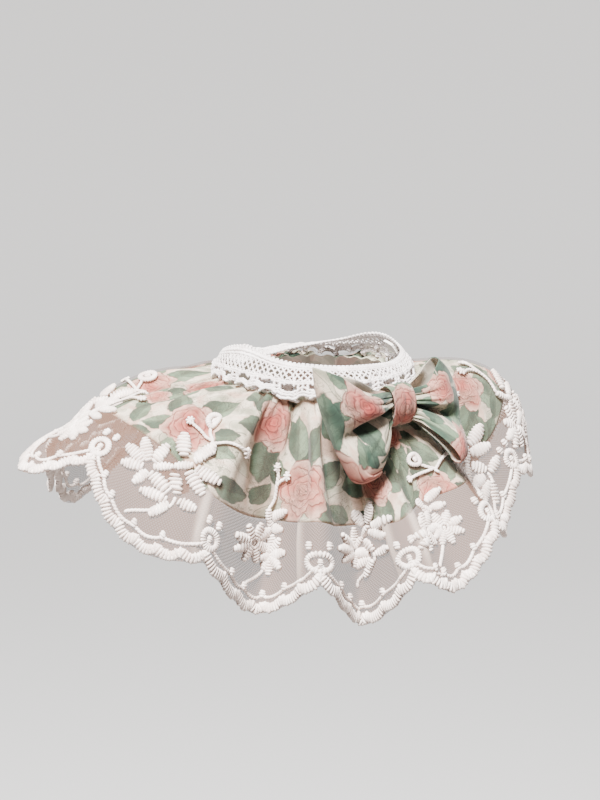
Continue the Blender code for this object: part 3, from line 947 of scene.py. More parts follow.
def bars(centre, rows, fit=1.0):
    """Single stitches drawn flat: rows of x, y, angle in degrees, length, width and height in mm.

    fit shrinks the drawing, but not the width and height of its stitches.
    """
    table = np.array(rows, dtype=float)
    table[:, [0, 1, 3]] *= fit
    across, down = flat_to_sheet(centre, table[:, 0], table[:, 1])
    hemward, upward, outward = frame_at(across, down)
    angle = np.radians(table[:, 2])[:, None]
    along = np.cos(angle) * hemward + np.sin(angle) * upward
    size = 0.5 * MM * table[:, 3:6]
    middles = on_sheet(across, down, THREAD_LIFT + 0.15 * size[:, 2])
    return middles, along, outward, size


def even_steps(points, pitch):
    """Lengths travelled along a path at its points, and at the middles of even steps along it."""
    steps = np.linalg.norm(np.diff(points, axis=0), axis=-1)
    lengths = np.concatenate([[0.0], np.cumsum(steps)])
    count = max(2, int(round(lengths[-1] / pitch)))
    return lengths, (np.arange(count) + 0.5) * lengths[-1] / count


def walk(across, down, pitch):
    """Even steps along a path on the sheet: points, directions and outward normals."""
    lengths, stops = even_steps(on_sheet(across, down, THREAD_LIFT), pitch)
    across, down = np.interp(stops, lengths, across), np.interp(stops, lengths, down)
    middles = on_sheet(across, down, THREAD_LIFT)
    outward = unit(read_chart(SHEET_NORMALS, across, down))
    return middles, unit(np.gradient(middles, axis=0)), outward


def rods(count, length, width, height):
    """The half sizes of a row of equal rods, for sizes in mm."""
    return np.tile(0.5 * MM * np.array([length, width, height]), (count, 1))


def cord_on(across, down, width):
    """A corded line: overlapping rods along the path, each turned a little."""
    middles, ahead, outward = walk(across, down, CORD_PITCH * MM)
    aside = np.cross(outward, ahead)
    angle = math.radians(CORD_SLANT)
    along = math.cos(angle) * ahead + math.sin(angle) * aside
    return middles, along, outward, rods(len(middles), 1.75 * CORD_PITCH, width, width)


def stem(centre, points, width, fit):
    """A cord through flat points round a centre, on a smooth curve."""
    points = fit * np.array(points, dtype=float)
    ends = np.vstack([2 * points[0] - points[1], points, 2 * points[-1] - points[-2]])
    place = np.linspace(0.0, len(points) - 1.0 - 1e-6, 12 * (len(points) - 1))
    across, down = flat_to_sheet(centre, *around(ends, place + 1.0).T)
    return cord_on(across, down, width)


# %% [markdown]
# Each motif is a list of single stitches: x, y, angle, length, width and height. A leaf is a pad
# with stitches across it, fullest in the middle. A ball, a ring, a daisy and a star are built
# from the same bars, as an embroidery machine would sew them.

# %% Motifs drawn in satin stitch
PAD_INSET = 0.10  # share of a leaf left without its pad at each end
SATIN_WIDTH = 1.40  # mm


def leaf_rows(base, tip, width):
    """A leaf or petal: a padded middle, and satin stitches across it from its base to its tip."""
    x, y = tip[0] - base[0], tip[1] - base[1]
    length = math.hypot(x, y)
    angle = math.degrees(math.atan2(y, x))
    pad = (1.0 - 2.0 * PAD_INSET) * length
    rows = [(base[0] + 0.5 * x, base[1] + 0.5 * y, angle, pad, 0.80 * width, 1.2)]
    count = max(3, int(round(length / (STITCH_PITCH / MM))))
    for index in range(count):
        share = (index + 0.5) / count
        full = math.sin(math.pi * share**0.85) ** 0.38
        rows.append((
            base[0] + share * x,
            base[1] + share * y,
            angle + 90.0 + random_thread.normal(0.0, 3.5),
            width * max(0.50, full) * random_thread.uniform(0.94, 1.06),
            SATIN_WIDTH,
            2.0 + 0.8 * full,
        ))
    return rows


def ball_rows(x, y, size):
    return [
        (x, y, 90.0, 0.80 * size, 0.80 * size, 0.70 * size),
        (x, y - 0.30 * size, 8.0, 0.80 * size, 0.50 * size, 0.75 * size),
        (x, y + 0.02 * size, 0.0, size, 0.50 * size, 0.90 * size),
        (x, y + 0.32 * size, -8.0, 0.80 * size, 0.50 * size, 0.75 * size),
    ]


def spokes(x, y, radius, count, start, turned, *bar):
    """Equal bars in a ring, each turned from its spoke."""
    for index in range(count):
        angle = start + 360.0 * index / count
        turn = math.radians(angle)
        place = (x + radius * math.cos(turn), y + radius * math.sin(turn))
        yield (*place, angle + turned, *bar)


def ring_rows(x, y, outer, inner, count):
    """A padded ring of stitches that all point to its middle, round a small knot."""
    middle, wall = 0.25 * (outer + inner), 0.5 * (outer - inner)
    rows = ball_rows(x, y, 0.62 * inner)
    rows += spokes(x, y, middle, 12, 0.0, 90.0, 0.65 * middle, 0.75 * wall, 1.6)
    rows += spokes(x, y, middle, count, 0.0, 0.0, wall + 0.1, 1.35, 2.0)
    return rows


def star_rows(x, y, size):
    """A bud of short stitches that spread from its middle."""
    rows = ball_rows(x, y, 0.5 * size)
    rows += spokes(x, y, 0.30 * size, 7, 15.0, 0.0, 0.55 * size, 1.1, 1.5)
    return rows


def daisy_rows(centre, tips, width):
    """Petals from a centre to each of its tips."""
    rows = ball_rows(*centre, 2.2)
    for tip in tips:
        base = [centre[axis] + 0.16 * (tip[axis] - centre[axis]) for axis in (0, 1)]
        rows += leaf_rows(base, tip, width)
    return rows


# %% [markdown]
# ## The scalloped border
# A blanket stitch binds the hem. Its bars lie square to the edge, one beside the next, and their
# outer ends are ragged, with small lobes along each scallop. A thin cord runs inside it, with
# four small knots in each scallop, and a ring flower stands on the cord at each notch.

# %% Hem, cord, knots and rings
BORDER_WIDTH = 4.8  # mm
HEM_BAR = (BORDER_WIDTH, 1.45, 2.6)  # length, width and height, mm
PADDING = (4.4, 2.2, 1.2)
PADDING_SHIFTS = (-0.8, 0.9)  # mm from the middle of the border
LOBES = 7  # small lobes along a scallop
CLOTH_DEPTH = 100.0 * MM  # mean length of the cloth from seam to tip
LOBE_DEPTH = 2.3 * MM / CLOTH_DEPTH
CORD_INSET = 8.0 * MM / CLOTH_DEPTH
CORD_DIP = 1.3 * MM / CLOTH_DEPTH  # how far the cord swings outward between two knots
KNOT_PHASES = (0.0, 0.20, 0.32, 0.54, 0.73, 1.0)  # the first and last are the ring flowers
CORD_WIDTH, KNOT_SIZE, BUD_SIZE = 1.45, 3.1, 3.2  # mm
KNOT_INSET, RING_INSET = 0.008, 0.012  # from the cord, as shares of the cloth's length
RING_FLOWER = (9.6, 4.2, 24)  # outer and inner size, mm, and stitches


def hem_line(across):
    """Share of the cloth's length at the outer edge of the border, with its small lobes."""
    lobe = np.abs(np.sin(math.pi * LOBES * ((across * REPEATS) % 1.0))) ** 0.7
    return scallop(across) + LOBE_DEPTH * (lobe - 0.75)


def border_stitches():
    """The hem's bars, laid over two rows of padding."""
    across = np.linspace(0.0, 1.0, 400 * REPEATS)
    line = hem_line(across) - 0.46 * BORDER_WIDTH * MM / CLOTH_DEPTH
    middles, ahead, outward = walk(across, line, STITCH_PITCH)
    aside = np.cross(outward, ahead)
    count = len(middles)
    along = aside + random_thread.normal(0.0, 0.07, count)[:, None] * ahead
    size = rods(count, *HEM_BAR)
    size[:, 0] *= random_thread.uniform(0.90, 1.06, count)
    middles = middles + random_thread.normal(0.0, 0.14 * MM, count)[:, None] * aside
    groups = [(middles, along, outward, size)]
    for shift in PADDING_SHIFTS:
        path = walk(across, line + shift * MM / CLOTH_DEPTH, 2.4 * MM)
        groups.append((*path, rods(len(path[0]), *PADDING)))
    return groups


def cord_line(across):
    """Share of the cloth's length along the cord, which dips outward between the knots."""
    phase = np.asarray((across * REPEATS) % 1.0)
    between = np.interp(phase, KNOT_PHASES, range(len(KNOT_PHASES))) % 1.0
    return scallop(across) + CORD_DIP * np.sin(math.pi * between) - CORD_INSET


def cord_and_knots():
    across = np.linspace(0.0, 1.0, 300 * REPEATS)
    groups = [cord_on(across, cord_line(across), CORD_WIDTH)]
    for repeat in range(REPEATS):
        for phase in KNOT_PHASES[1:-1]:
            down = float(cord_line((repeat + phase) / REPEATS)) - KNOT_INSET
            groups.append(bars((repeat + phase, down), ball_rows(0.0, 0.0, KNOT_SIZE)))
    return groups


def ring_flowers():
    """A ring at each notch, on the cord, with two buds above it."""
    rows = ring_rows(0.0, 0.0, *RING_FLOWER)
    rows += ball_rows(-2.8, 6.5, BUD_SIZE) + ball_rows(2.6, 6.8, BUD_SIZE)
    downs = [float(cord_line(repeat / REPEATS)) - RING_INSET for repeat in range(REPEATS)]
    return [bars((repeat, down), rows) for repeat, down in enumerate(downs)]


hem = sew("hem_border", border_stitches(), EMBROIDERY)
cord = sew("edge_cord", cord_and_knots(), EMBROIDERY)
rings = sew("ring_flowers", ring_flowers(), EMBROIDERY)

# %% [markdown]
# ## The sprigs
# Inside the scallops the net has pairs of daisies and big fern sprays in turn, on curved stems.
# Each motif is a short list of leaves and stems, drawn flat, in millimetres round a base. The
# scallop under the bow has daisies crowded together, with a ring on a stem above them.

# %% Sprig motifs
# base        place in the scallop: share of the scallop, and share of the cloth's length
# parts       each a kind of motif and what it is drawn from
# stem_width  mm
# stems       each the points that it passes through
Sprig = namedtuple("Sprig", "base parts stem_width stems")
DAISY_BASE = (0.45, 0.72)
FERN_BASE = (0.50, 0.66)
TWIN_DAISIES = Sprig(DAISY_BASE, [
    (daisy_rows, (-8.4, 4.2), (
        (-5.8, 13.8), (1.0, 11.5), (-13.5, 12.0), (-19.0, 6.0), (-18.0, -0.5), (-12.0, -4.6),
        (-4.4, -5.0), (1.2, 1.6),
    ), 5.6),
    (daisy_rows, (7.2, -1.0), (
        (4.6, 8.6), (12.8, 7.6), (17.2, 1.4), (15.2, -6.4), (8.2, -10.6), (1.0, -8.4),
        (-2.6, -2.6), (-1.0, 3.4),
    ), 5.6),
    (leaf_rows, (4.0, 16.5), (15.5, 20.5), 5.4), (leaf_rows, (4.6, 12.0), (14.0, 11.5), 5.2),
    (leaf_rows, (-3.4, 20.6), (-1.2, 14.4), 3.6), (leaf_rows, (-1.4, 15.2), (4.4, 10.2), 3.6),
], 1.5, [[(3.0, -7.5), (-2.0, -11.6), (-8.0, -14.6)]])
STAR_BUDS = Sprig(DAISY_BASE, [
    (star_rows, -1.5, 40.5, 4.6), (star_rows, 12.8, 36.6, 4.6),
], 1.3, [
    [(-1.0, 39.0), (3.0, 36.0), (4.1, 31.0), (1.8, 25.9), (-3.0, 20.7)],
    [(11.5, 35.5), (7.0, 33.5), (4.0, 30.0)],
])
FERN = Sprig(FERN_BASE, [(leaf_rows, *leaf) for leaf in (
    ((-5.0, -1.8), (-16.5, -0.4), 6.2), ((-3.4, -0.6), (-12.4, 6.4), 5.8),
    ((-1.4, 0.2), (-1.2, 10.2), 6.2), ((-4.0, -3.6), (-13.4, -7.4), 5.8),
    ((-1.2, -4.0), (-4.2, -11.4), 5.4), ((-0.6, -1.2), (6.2, 5.0), 4.2),
    ((6.2, 5.2), (12.2, 11.6), 4.2), ((7.4, 11.2), (0.4, 18.8), 6.8),
    ((11.8, 12.8), (16.0, 24.6), 6.4), ((13.6, 11.4), (25.0, 13.6), 6.6),
    ((11.6, 8.0), (21.0, 5.4), 6.6), ((7.8, 3.4), (12.2, -2.0), 6.4),
    ((9.4, -3.8), (-0.6, -4.0), 6.4), ((9.8, -6.6), (-0.8, -11.8), 5.6),
    ((10.8, -7.0), (6.0, -16.4), 5.4), ((13.0, -3.6), (20.4, -0.4), 5.4),
)], 1.5, [[(12.0, -3.4), (11.0, -8.0), (5.0, -15.5), (-2.5, -22.0)]])
RING_ON_STEM = Sprig(FERN_BASE, [
    (ring_rows, 5.7, 32.9, 8.8, 4.0, 22), (star_rows, -3.0, 24.6, 3.8),
    (star_rows, 29.6, 29.8, 4.2),
], 1.3, [
    [(8.6, 29.2), (12.0, 26.6), (14.0, 25.0), (14.8, 22.0)],
    [(-1.6, 24.4), (4.0, 24.6), (9.0, 24.8), (14.0, 25.0)],
    [(14.6, 24.4), (20.5, 28.0), (27.8, 29.6)],
])
SPRIGS = {
    "D": (TWIN_DAISIES, STAR_BUDS), "F": (FERN, RING_ON_STEM),
    "E": (TWIN_DAISIES, RING_ON_STEM), "G": (FERN,),
}
SPRIG_ORDER = "DGEFDFDFDDFDF"  # a letter for each scallop
FULL_REPEAT = 0.052  # a sprig has its full size in a scallop of this width, metres
LEAST_FIT = 0.70


def all_sprigs():
    groups = []
    for repeat, kind in enumerate(SPRIG_ORDER):
        wide = np.linalg.norm(read_chart(SLOPE_ACROSS, (repeat + 0.5) / REPEATS, 0.7)) / REPEATS
        fit = float(np.clip(wide / FULL_REPEAT, LEAST_FIT, 1.0))
        for sprig in SPRIGS[kind]:
            base = (repeat + sprig.base[0], sprig.base[1])
            rows = []
            for draw, *drawn_from in sprig.parts:
                rows += draw(*drawn_from)
            groups.append(bars(base, rows, fit))
            groups += [stem(base, points, sprig.stem_width, fit) for points in sprig.stems]
    return groups


sprigs = sew("sprigs", all_sprigs(), EMBROIDERY)

# %% [markdown]
# ## The crochet neckband
# The neckband is cluny edging, worked in cotton thread. Its holes are real gaps between threads.
# The pattern of one scallop is drawn flat, as strands through points given as shares of the
# scallop's width and of the band's height, and repeated round the neck.

# %% Neckband surface
BAND_SCALLOPS = 24
BAND_OVERLAP = 0.020  # share of the ruffle's length that the band covers
SCALLOP_DROP = 0.018  # further share covered by the middle of each crochet scallop
BAND_MIDDLE_RADIUS = 42.5 * MM  # the band curves toward this circle over the seam
BAND_MIDDLE_HEIGHT = 7.5 * MM
BAND_LOWER_LIFT = 3.05 * MM
BAND_HALF_WALL = 0.6 * MM
STITCH_LEAN = (0.32, -0.10)  # crochet stitches lean to one side and the other in turn
STITCH_LENGTH = 1.9  # as a share of their pitch, so that they overlap

Neckline = namedtuple("Neckline", "height radius")  # mm, at every 30 degrees from the front
NECKLINE = [Neckline(*row) for row in (
    (10.5, 36.0), (9.5, 36.5), (11.5, 38.0), (14.5, 37.0), (10.0, 35.0), (7.0, 33.5),
    (4.5, 34.5), (4.0, 36.0), (13.0, 38.5), (18.0, 36.5), (13.5, 35.5), (11.5, 35.5),
)]


def band_points(bearing, share):
    """Points on the band's inner side, from its lower edge (0) to its top (1)."""
    across = ((bearing - SEAM_START) / 360.0) % 1.0
    wave = np.abs(np.sin(math.pi * BAND_SCALLOPS * bearing / 360.0))
    lower = on_sheet(across, BAND_OVERLAP + SCALLOP_DROP * wave, BAND_LOWER_LIFT)
    edge = around(NECKLINE, (bearing % 360.0) / 30.0) * MM
    upper = polar(bearing, edge[..., 1], edge[..., 0])
    middle = polar(bearing, BAND_MIDDLE_RADIUS, BAND_MIDDLE_HEIGHT)
    share = share[..., None]
    return (1.0 - share)**2 * lower + 2.0 * share * (1.0 - share) * middle + share**2 * upper


def band_frame(bearing, share):
    """Band points in the middle of the wall, and outward normals."""
    ahead = band_points(bearing + 0.4, share) - band_points(bearing - 0.4, share)
    upward = band_points(bearing, share + 0.03) - band_points(bearing, share - 0.03)
    outward = unit(np.cross(ahead, upward))
    return band_points(bearing, share) + BAND_HALF_WALL * outward, outward


def strand(path, pitch, width):
    """A crochet thread: rods along a path of (scallop, share) points on the band."""
    fine = np.linspace(0.0, 1.0, 40 * len(path))
    knots = np.linspace(0.0, 1.0, len(path))
    bearing = np.interp(fine, knots, path[:, 0]) * 360.0 / BAND_SCALLOPS
    share = np.interp(fine, knots, path[:, 1])
    lengths, stops = even_steps(band_frame(bearing, share)[0], pitch * MM)
    bearing, share = np.interp(stops, lengths, bearing), np.interp(stops, lengths, share)
    points, outward = band_frame(bearing, share)
    ahead = unit(np.gradient(points, axis=0))
    lean = np.resize(STITCH_LEAN, len(stops))[:, None]
    along = ahead + lean * np.cross(outward, ahead)
    return points, along, outward, rods(len(stops), STITCH_LENGTH * pitch, width, width)


# %% [markdown]
# One scallop has courses that follow its lower edge, posts that join them round a larger hole,
# two rows of small square meshes worked in zigzags, two straight courses and a picot edge on top.

# %% The crochet pattern
# height, swell  of a course at the scallop's ends, and what its middle adds
# pitch, width   of its stitches, mm
COURSES = (
    (0.03, 0.0, 1.25, 1.3), (0.12, 0.0, 1.25, 1.1), (0.28, -0.10, 1.2, 1.0),
    (0.40, 0.04, 1.2, 1.0), (0.47, 0.01, 1.25, 1.1),
)
# x, low and high of a post, and the pitch and width of its stitches
POSTS = (
    (0.0, 0.12, 0.42, 1.1, 1.1), (0.15, 0.12, 0.42, 1.1, 1.1), (0.85, 0.12, 0.42, 1.1, 1.1),
    (0.30, 0.13, 0.22, 1.0, 1.2), (0.30, 0.40, 0.47, 1.0, 1.2),
    (0.70, 0.13, 0.22, 1.0, 1.2), (0.70, 0.40, 0.47, 1.0, 1.2),
)
TOP_COURSES = ((0.87, 1.25, 1.2), (0.94, 1.25, 1.3))
ZIGZAGS = ((0.48, 0.575), (0.67, 0.575), (0.67, 0.765), (0.86, 0.765))
ZIGZAGS_A_SCALLOP, ZIGZAG_WIDTH = 4, 0.70
PICOTS_A_SCALLOP, PICOT_WIDTH = 5, 1.1


def scallop_strands():
    """Paths of one scallop's threads, each with its pitch and width."""
    steps = np.linspace(0.0, 1.0, 13)
    swell = np.sin(math.pi * steps)
    for height, lift, pitch, width in COURSES:
        yield np.stack([steps, height + lift * swell], axis=-1), pitch, width
    for x, low, high, pitch, width in POSTS:
        yield [(x, low), (x, high)], pitch, width
    for height, pitch, width in TOP_COURSES:
        yield [(0.0, height), (1.0, height)], pitch, width
    for start in np.arange(ZIGZAGS_A_SCALLOP) / ZIGZAGS_A_SCALLOP:
        for low, high in ZIGZAGS:
            yield [(start, low), (start + 0.125, high), (start + 0.25, low)], 1.0, ZIGZAG_WIDTH
    for start in np.arange(PICOTS_A_SCALLOP) / PICOTS_A_SCALLOP:
        picot = [(start + 0.02, 0.94), (start + 0.10, 1.03), (start + 0.18, 0.94)]
        yield picot, 1.0, PICOT_WIDTH


crochet = [
    strand(np.array(path) + (place, 0.0), pitch, width)
    for place in range(BAND_SCALLOPS)
    for path, pitch, width in scallop_strands()
]
sew("crochet_neckband", crochet, CROCHET, "neckband")
bpy.data.objects.remove(ROD)  # all the thread is sewn

# %% [markdown]
# ## The bow
# The bow is one wide strip of the print, folded to the back and pinched by a wrapped band. Each
# wing is a fan of rays from the knot, with a bulge for each lobe and none in the crease between
# them. The cloth runs out along the front, turns at the end and comes back behind. Sharp pleats
# run out from the knot and fade, as they do where cloth is pinched.

# %% Bow sizes
BOW_CENTRE = np.array([0.0, -53.0 * MM, -2.5 * MM])
WAIST_START = 4.0 * MM
WAIST_END = 6.8 * MM
WAIST_HALF_HEIGHT = 5.6 * MM
WAIST_HALF_DEPTH = 1.9 * MM
TURN_DEPTH = 2.6 * MM  # half the cloth's spread where it turns back
TURN_START = 0.92  # share of the ray where the turn starts
BACK_PUFF = 0.1
WING_THICKNESS = 0.45 * MM
WING_GRID = (150, 84)

# angle   of the ray above the horizontal, degrees
# length  of the ray, mm
# puff    how far the front layer bulges forward, mm
# sweep   how far the ray's end lies in front of the knot's middle, mm
Ray = namedtuple("Ray", "angle length puff sweep")
LEFT_WING = [Ray(*row) for row in (
    (20, 43, 3.0, -4), (11, 41, 7.0, -3), (2, 39, 9.0, -2), (-6, 37, 7.0, -1),
    (-15, 36, 0.0, 1), (-29, 35, 6.0, 3), (-44, 34, 6.0, 5), (-54, 26, 3.0, 6),
)]
RIGHT_WING = [Ray(*row) for row in (
    (28, 24, 3.0, 0), (17, 28, 7.0, 0), (6, 30, 8.0, 1), (-5, 29, 6.0, 5),
    (-17, 27, 0.0, 10), (-29, 25, 5.0, 15.5), (-43, 24, 5.0, 20), (-57, 20, 3.0, 22),
)]

# place   of the pleat down the wing, from its top ray (0) to its lowest (1)
# lean    how far it wanders down the wing by its end
# start   share of the ray where it starts, and reach, where it has faded away
# width   as a share of the wing's height
# height  mm, negative for a trough
Pleat = namedtuple("Pleat", "place lean start reach width height")
LEFT_PLEATS = [Pleat(*row) for row in (
    (0.57, 0.01, 0.00, 1.25, 0.045, -3.6), (0.64, 0.04, 0.00, 0.90, 0.050, 1.2),
    (0.30, -0.08, 0.00, 0.55, 0.050, -1.5), (0.40, -0.02, 0.00, 0.70, 0.050, 1.0),
    (0.16, -0.03, 0.05, 0.60, 0.040, -1.1), (0.80, 0.03, 0.00, 0.62, 0.050, -1.5),
    (0.90, 0.02, 0.00, 0.50, 0.040, 0.9), (0.72, 0.10, 0.35, 1.05, 0.050, -0.9),
    (0.25, 0.10, 0.45, 1.05, 0.070, -0.8),
)]
RIGHT_PLEATS = [Pleat(*row) for row in (
    (0.52, 0.06, 0.00, 1.30, 0.075, -5.2), (0.44, -0.01, 0.00, 0.60, 0.045, 1.8),
    (0.63, 0.02, 0.00, 0.90, 0.045, 1.6), (0.22, -0.04, 0.00, 0.60, 0.050, -1.3),
    (0.32, 0.02, 0.05, 0.75, 0.045, 0.8), (0.80, 0.05, 0.00, 0.70, 0.050, -1.3),
    (0.88, 0.00, 0.00, 0.45, 0.040, 0.9),
)]


# %% Bow wings
def wing_station(step, puff):
    """Share of the ray and distance forward for a step along the cloth: -1 front, 1 back."""
    share = np.clip(1.0 - np.abs(step), 0.0, 1.0)
    past = 1.0 - TURN_START
    turn = np.clip(share - TURN_START, 0.0, past) / past
    reach = np.minimum(share, TURN_START) + past * np.sin(0.5 * math.pi * turn)
    depth = WAIST_HALF_DEPTH + (TURN_DEPTH - WAIST_HALF_DEPTH) * np.minimum(reach, TURN_START)
    depth = depth * np.cos(0.5 * math.pi * turn)
    bulge = puff * np.sin(math.pi * np.clip(reach, 0.0, 1.0)**0.8)
    return reach, np.where(step < 0.0, depth + bulge, -depth - BACK_PUFF * bulge)


def pleat_height(pleats, share, down):
    height = 0.0 * down
    for pleat in pleats:
        run = np.clip((share - pleat.start) / (pleat.reach - pleat.start), 0.0, 1.0)
        strength = smooth_step(run / 0.12 + 0.35) * (1.0 - smooth_step(run))
        off = (down - pleat.place - pleat.lean * run) / (0.5 * pleat.width * (1.0 + share))
        height = height + pleat.height * MM * strength * np.exp(-np.abs(off) ** 1.5)
    return height


def wing_surface(rays, side, pleats, curl, hem_start):
    """The wing's surface, for a share along the cloth and a share down the wing.

    curl lifts the back layer's top edge over the front one, and hem_start is the share of the ray
    where the turned edge begins, or more than 1 for none.
    """
    rays = np.array(rays, dtype=float)
    ends = np.vstack([2 * rays[0] - rays[1], rays, 2 * rays[-1] - rays[-2]])

    def surface(across, down):
        table = around(ends, down * (len(rays) - 1.0 - 1e-6) + 1.0)
        angle = np.radians(table[:, 0])
        length, puff, sweep = table[:, 1:].T * MM
        step = 2.0 * across - 1.0
        share, forward = wing_station(step, puff)
        front = smooth_step(0.5 - np.where(share < 0.97, 6.0, 3.0) * step)
        raised = smooth_step((share - hem_start) / 0.015) * (share < 0.995)
        forward = forward + front * (pleat_height(pleats, share, down) + 0.7 * MM * raised)
        rolled = np.sin(math.pi * np.clip((share - 0.08) / 0.62, 0.0, 1.0)) ** 1.2
        rolled = curl * rolled * smooth_step(1.0 - down / 0.22)
        forward = forward + rolled * np.where(front > 0.5, 0.35, 1.0)
        out = WAIST_START + (WAIST_END - WAIST_START) * smooth_step(share / 0.12)
        out = out + share * (length - WAIST_END) * np.cos(angle)
        up = WAIST_HALF_HEIGHT * (1.0 - 2.0 * down) + share * length * np.sin(angle)
        up = up + rolled * np.where(front > 0.5, -0.9, 0.45)
        ahead = forward + sweep * np.sin(0.5 * math.pi * share)
        return np.stack([side * out, -ahead, up], axis=-1) + BOW_CENTRE

    return surface


def face_outward(mesh, centre):
    """Turns the faces of an open sheet so that most of them look away from a centre."""
    bmesh.ops.recalc_face_normals(mesh, faces=mesh.faces)
    centre = Vector(centre)
    outward = sum(
        face.normal.dot(face.calc_center_median() - centre) * face.calc_area()
        for face in mesh.faces
    )
    if outward < 0.0:
        bmesh.ops.reverse_faces(mesh, faces=mesh.faces)


def bow_wing(name, node, surface, side, corner, cut):
    mesh, _ = lay_cloth(*WING_GRID, surface, cut, corner)
    face_outward(mesh, BOW_CENTRE + np.array([side * 20.0 * MM, 0.0, -4.0 * MM]))
    cotton_piece(
        name, mesh, SHADED_BOW_COTTON, WING_THICKNESS, node, "bow_cotton",
        flat=cut, held="folded", rests_on=["net_ruffle_cloth"],
    )


left_surface = wing_surface(LEFT_WING, -1.0, LEFT_PLEATS, 3.2 * MM, 0.84)
right_surface = wing_surface(RIGHT_WING, 1.0, RIGHT_PLEATS, 1.6 * MM, 2.0)
bow_wing("left_wing", "bow_wing_left", left_surface, -1.0, (-0.008, 0.003), (0.086, 0.045))
bow_wing("right_wing", "bow_wing_right", right_surface, 1.0, (0.064, 0.004), (0.062, 0.042))

# %% [markdown]
# The knot is a short band of the print, wrapped once round the waist, with its raw edges folded
# in and its seam behind. It is an oval tube with a raised fold at each edge and creases that run
# round.

# %% Bow knot
# place and width of a crease as shares of the half length, and its height, mm
KNOT_CREASES = ((-0.55, 0.20, 0.5), (0.05, 0.16, -0.6), (0.50, 0.22, 0.4))
KNOT_HALF_DEPTH, KNOT_HALF_HEIGHT, KNOT_HALF_LENGTH = 6.1 * MM, 8.6 * MM, 5.8 * MM
KNOT_FOLD = 0.35 * MM
KNOT_THICKNESS = 0.5 * MM
KNOT_GRID = (80, 40)
KNOT_CUT = (0.052, 0.012)


def knot_surface(across, down):
    angle = FULL_TURN * (across - 0.5)
    station = 2.0 * down - 1.0
    relief = KNOT_FOLD * smooth_step((np.abs(station) - 0.80) / 0.05)
    for place, width, height in KNOT_CREASES:
        off = (station - place - 0.12 * np.sin(angle + 4.0 * place)) / width
        fade = 0.6 + 0.4 * np.cos(angle + 7.0 * place)
        relief = relief + height * MM * np.exp(-off**2) * fade
    depth = KNOT_HALF_DEPTH * (1.0 - 0.10 * station**2) + relief
    height = KNOT_HALF_HEIGHT * (1.0 - 0.08 * station**2) + relief
    along = KNOT_HALF_LENGTH * station
    return np.stack([along, -depth * np.cos(angle), height * np.sin(angle)], -1) + BOW_CENTRE


knot, _ = lay_cloth(*KNOT_GRID, knot_surface, KNOT_CUT, (0.222, 0.007))
bmesh.ops.remove_doubles(knot, verts=knot.verts, dist=WELD)
face_outward(knot, BOW_CENTRE)
cotton_piece(
    "knot_band", knot, SHADED_BOW_COTTON, KNOT_THICKNESS, "bow_knot", "bow_cotton",
    flat=KNOT_CUT, held="folded", rests_on=["left_wing", "right_wing"],
)

# %% [markdown]
# ## The join strip
# Inside the neckband, a narrow strip of plain tape covers the join. Its solid already has the
# right shape, so it stays and only takes a woven finish.

# %% Join strip
def tape_material():
    material, tree, shader = new_material("cotton tape", 0.85, sheen=0.15)
    place = add_node(tree, "ShaderNodeTexCoord").outputs["Object"]
    soft = noise(place, scale=400.0, detail=2.0)
    colour = mix_colours(soft, (0.80, 0.75, 0.70, 1.0), (0.86, 0.82, 0.78, 1.0))
    feed(tree, shader["Base Color"], colour)
    inputs = {"Vector": place, "Scale": 260.0, "Distortion": 1.0}
    rows = add_node(tree, "ShaderNodeTexWave", inputs, bands_direction="Z").outputs["Fac"]
    bump_into(tree, shader, rows, 0.1 * MM, 0.5)
    return material


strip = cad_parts["join_strip"]
strip.material_slots[0].material = tape_material()

# %% [markdown]
# ## Stage, light and camera
# The collar was photographed against a plain pale grey, held up with no floor close under it. A
# round sweep of floor and wall gives that grey from any side. The paper throws less light back on
# the collar than the camera sees on it, as if it were flagged, so that the folds keep their
# shade.

# %% Stage
FLOOR_HEIGHT = -0.62
SWEEP_PROFILE = ((0.0, 0.0), (1.6, 0.0), (2.1, 0.08), (2.45, 0.35), (2.6, 0.8), (2.6, 2.4))
PAPER_SEEN = (0.74, 0.74, 0.74, 1.0)
PAPER_BOUNCE = (0.30, 0.28, 0.27, 1.0)


def studio_sweep():
    mesh = bmesh.new()
    verts = [mesh.verts.new((reach, 0.0, FLOOR_HEIGHT + rise)) for reach, rise in SWEEP_PROFILE]
    edges = [mesh.edges.new(pair) for pair in zip(verts, verts[1:])]
    bmesh.ops.spin(
        mesh, geom=verts + edges, cent=(0, 0, 0), axis=(0, 0, 1), angle=FULL_TURN, steps=64,
        use_merge=True,
    )
    bmesh.ops.remove_doubles(mesh, verts=mesh.verts, dist=0.1 * MM)
    bmesh.ops.recalc_face_normals(mesh, faces=mesh.faces)
    sweep = finish_mesh("studio_sweep", mesh)
    smooth = sweep.modifiers.new("smooth", "SUBSURF")
    smooth.levels = smooth.render_levels = 2
    material, tree, shader = new_material("pale paper", 0.95)
    seen = add_node(tree, "ShaderNodeLightPath").outputs["Is Camera Ray"]
    feed(tree, shader["Base Color"], mix_colours(seen, PAPER_BOUNCE, PAPER_SEEN))
    sweep.data.materials.append(material)
    sweep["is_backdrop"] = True


studio_sweep()

# %% [markdown]
# The light is soft and comes from the upper left of the camera, with a weak fill from the right.
# The camera looks at the neck from a little above, and its lens gives the collar's size in
# pixels.

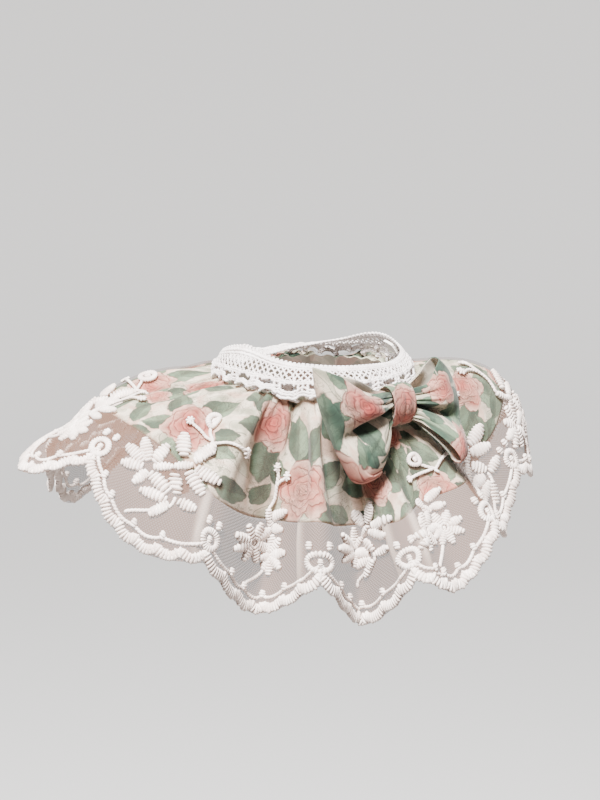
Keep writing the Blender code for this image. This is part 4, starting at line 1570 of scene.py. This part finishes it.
# %% Light and camera
VIEW_AZIMUTH, VIEW_ELEVATION, VIEW_DISTANCE = -40.0, 12.0, 0.85
PHOTO_WIDTH, PHOTO_HEIGHT = 600, 800
SIZE_OF_PIXEL = 0.43 * MM  # at the collar
NECK_CENTRE_PIXEL = (313, 378)
SENSOR = 36.0  # mm
ROOM_COLOUR = (0.95, 0.97, 1.0, 1.0)
ROOM_STRENGTH = 0.42


def aim(name, data, azimuth, elevation, distance):
    """Places a light or a camera so that it looks at the neck."""
    turn, rise = math.radians(azimuth), math.radians(elevation)
    flat = math.cos(rise)
    back = Vector((math.sin(turn) * flat, -math.cos(turn) * flat, math.sin(rise)))
    aimed = bpy.data.objects.new(name, data)
    bpy.context.scene.collection.objects.link(aimed)
    aimed.location = distance * back
    aimed.rotation_euler = back.to_track_quat("Z", "Y").to_euler()
    return aimed


for name, energy, size, colour, *place in (
    ("key", 200.0, 0.45, (1.0, 0.985, 0.965), -62.0, 60.0, 1.5),
    ("fill", 4.0, 1.4, (0.98, 0.99, 1.0), 20.0, 20.0, 1.6),
):
    light = bpy.data.lights.new(name, "AREA")
    light.energy, light.size, light.color = energy, size, colour
    aim(name, light, *place)

world = bpy.data.worlds.new("soft room")
bpy.context.scene.world = world
world.use_nodes = True
background = world.node_tree.nodes["Background"].inputs
background["Color"].default_value = ROOM_COLOUR
background["Strength"].default_value = ROOM_STRENGTH

lens = bpy.data.cameras.new("camera")
lens.sensor_fit = "VERTICAL"
lens.sensor_height = lens.sensor_width = SENSOR
lens.lens = SENSOR * VIEW_DISTANCE / (PHOTO_HEIGHT * SIZE_OF_PIXEL)
lens.shift_x = (0.5 * PHOTO_WIDTH - NECK_CENTRE_PIXEL[0]) / PHOTO_HEIGHT
lens.shift_y = (NECK_CENTRE_PIXEL[1] - 0.5 * PHOTO_HEIGHT) / PHOTO_HEIGHT
bpy.context.scene.camera = aim("camera", lens, VIEW_AZIMUTH, VIEW_ELEVATION, VIEW_DISTANCE)
print("lens, mm:", round(lens.lens, 1))

# %% Finish
low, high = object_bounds()
growth = [round(1000 * float(v), 1) for v in (*(cad_low - low), *(high - cad_high))]
print("box grows by, mm:", growth)
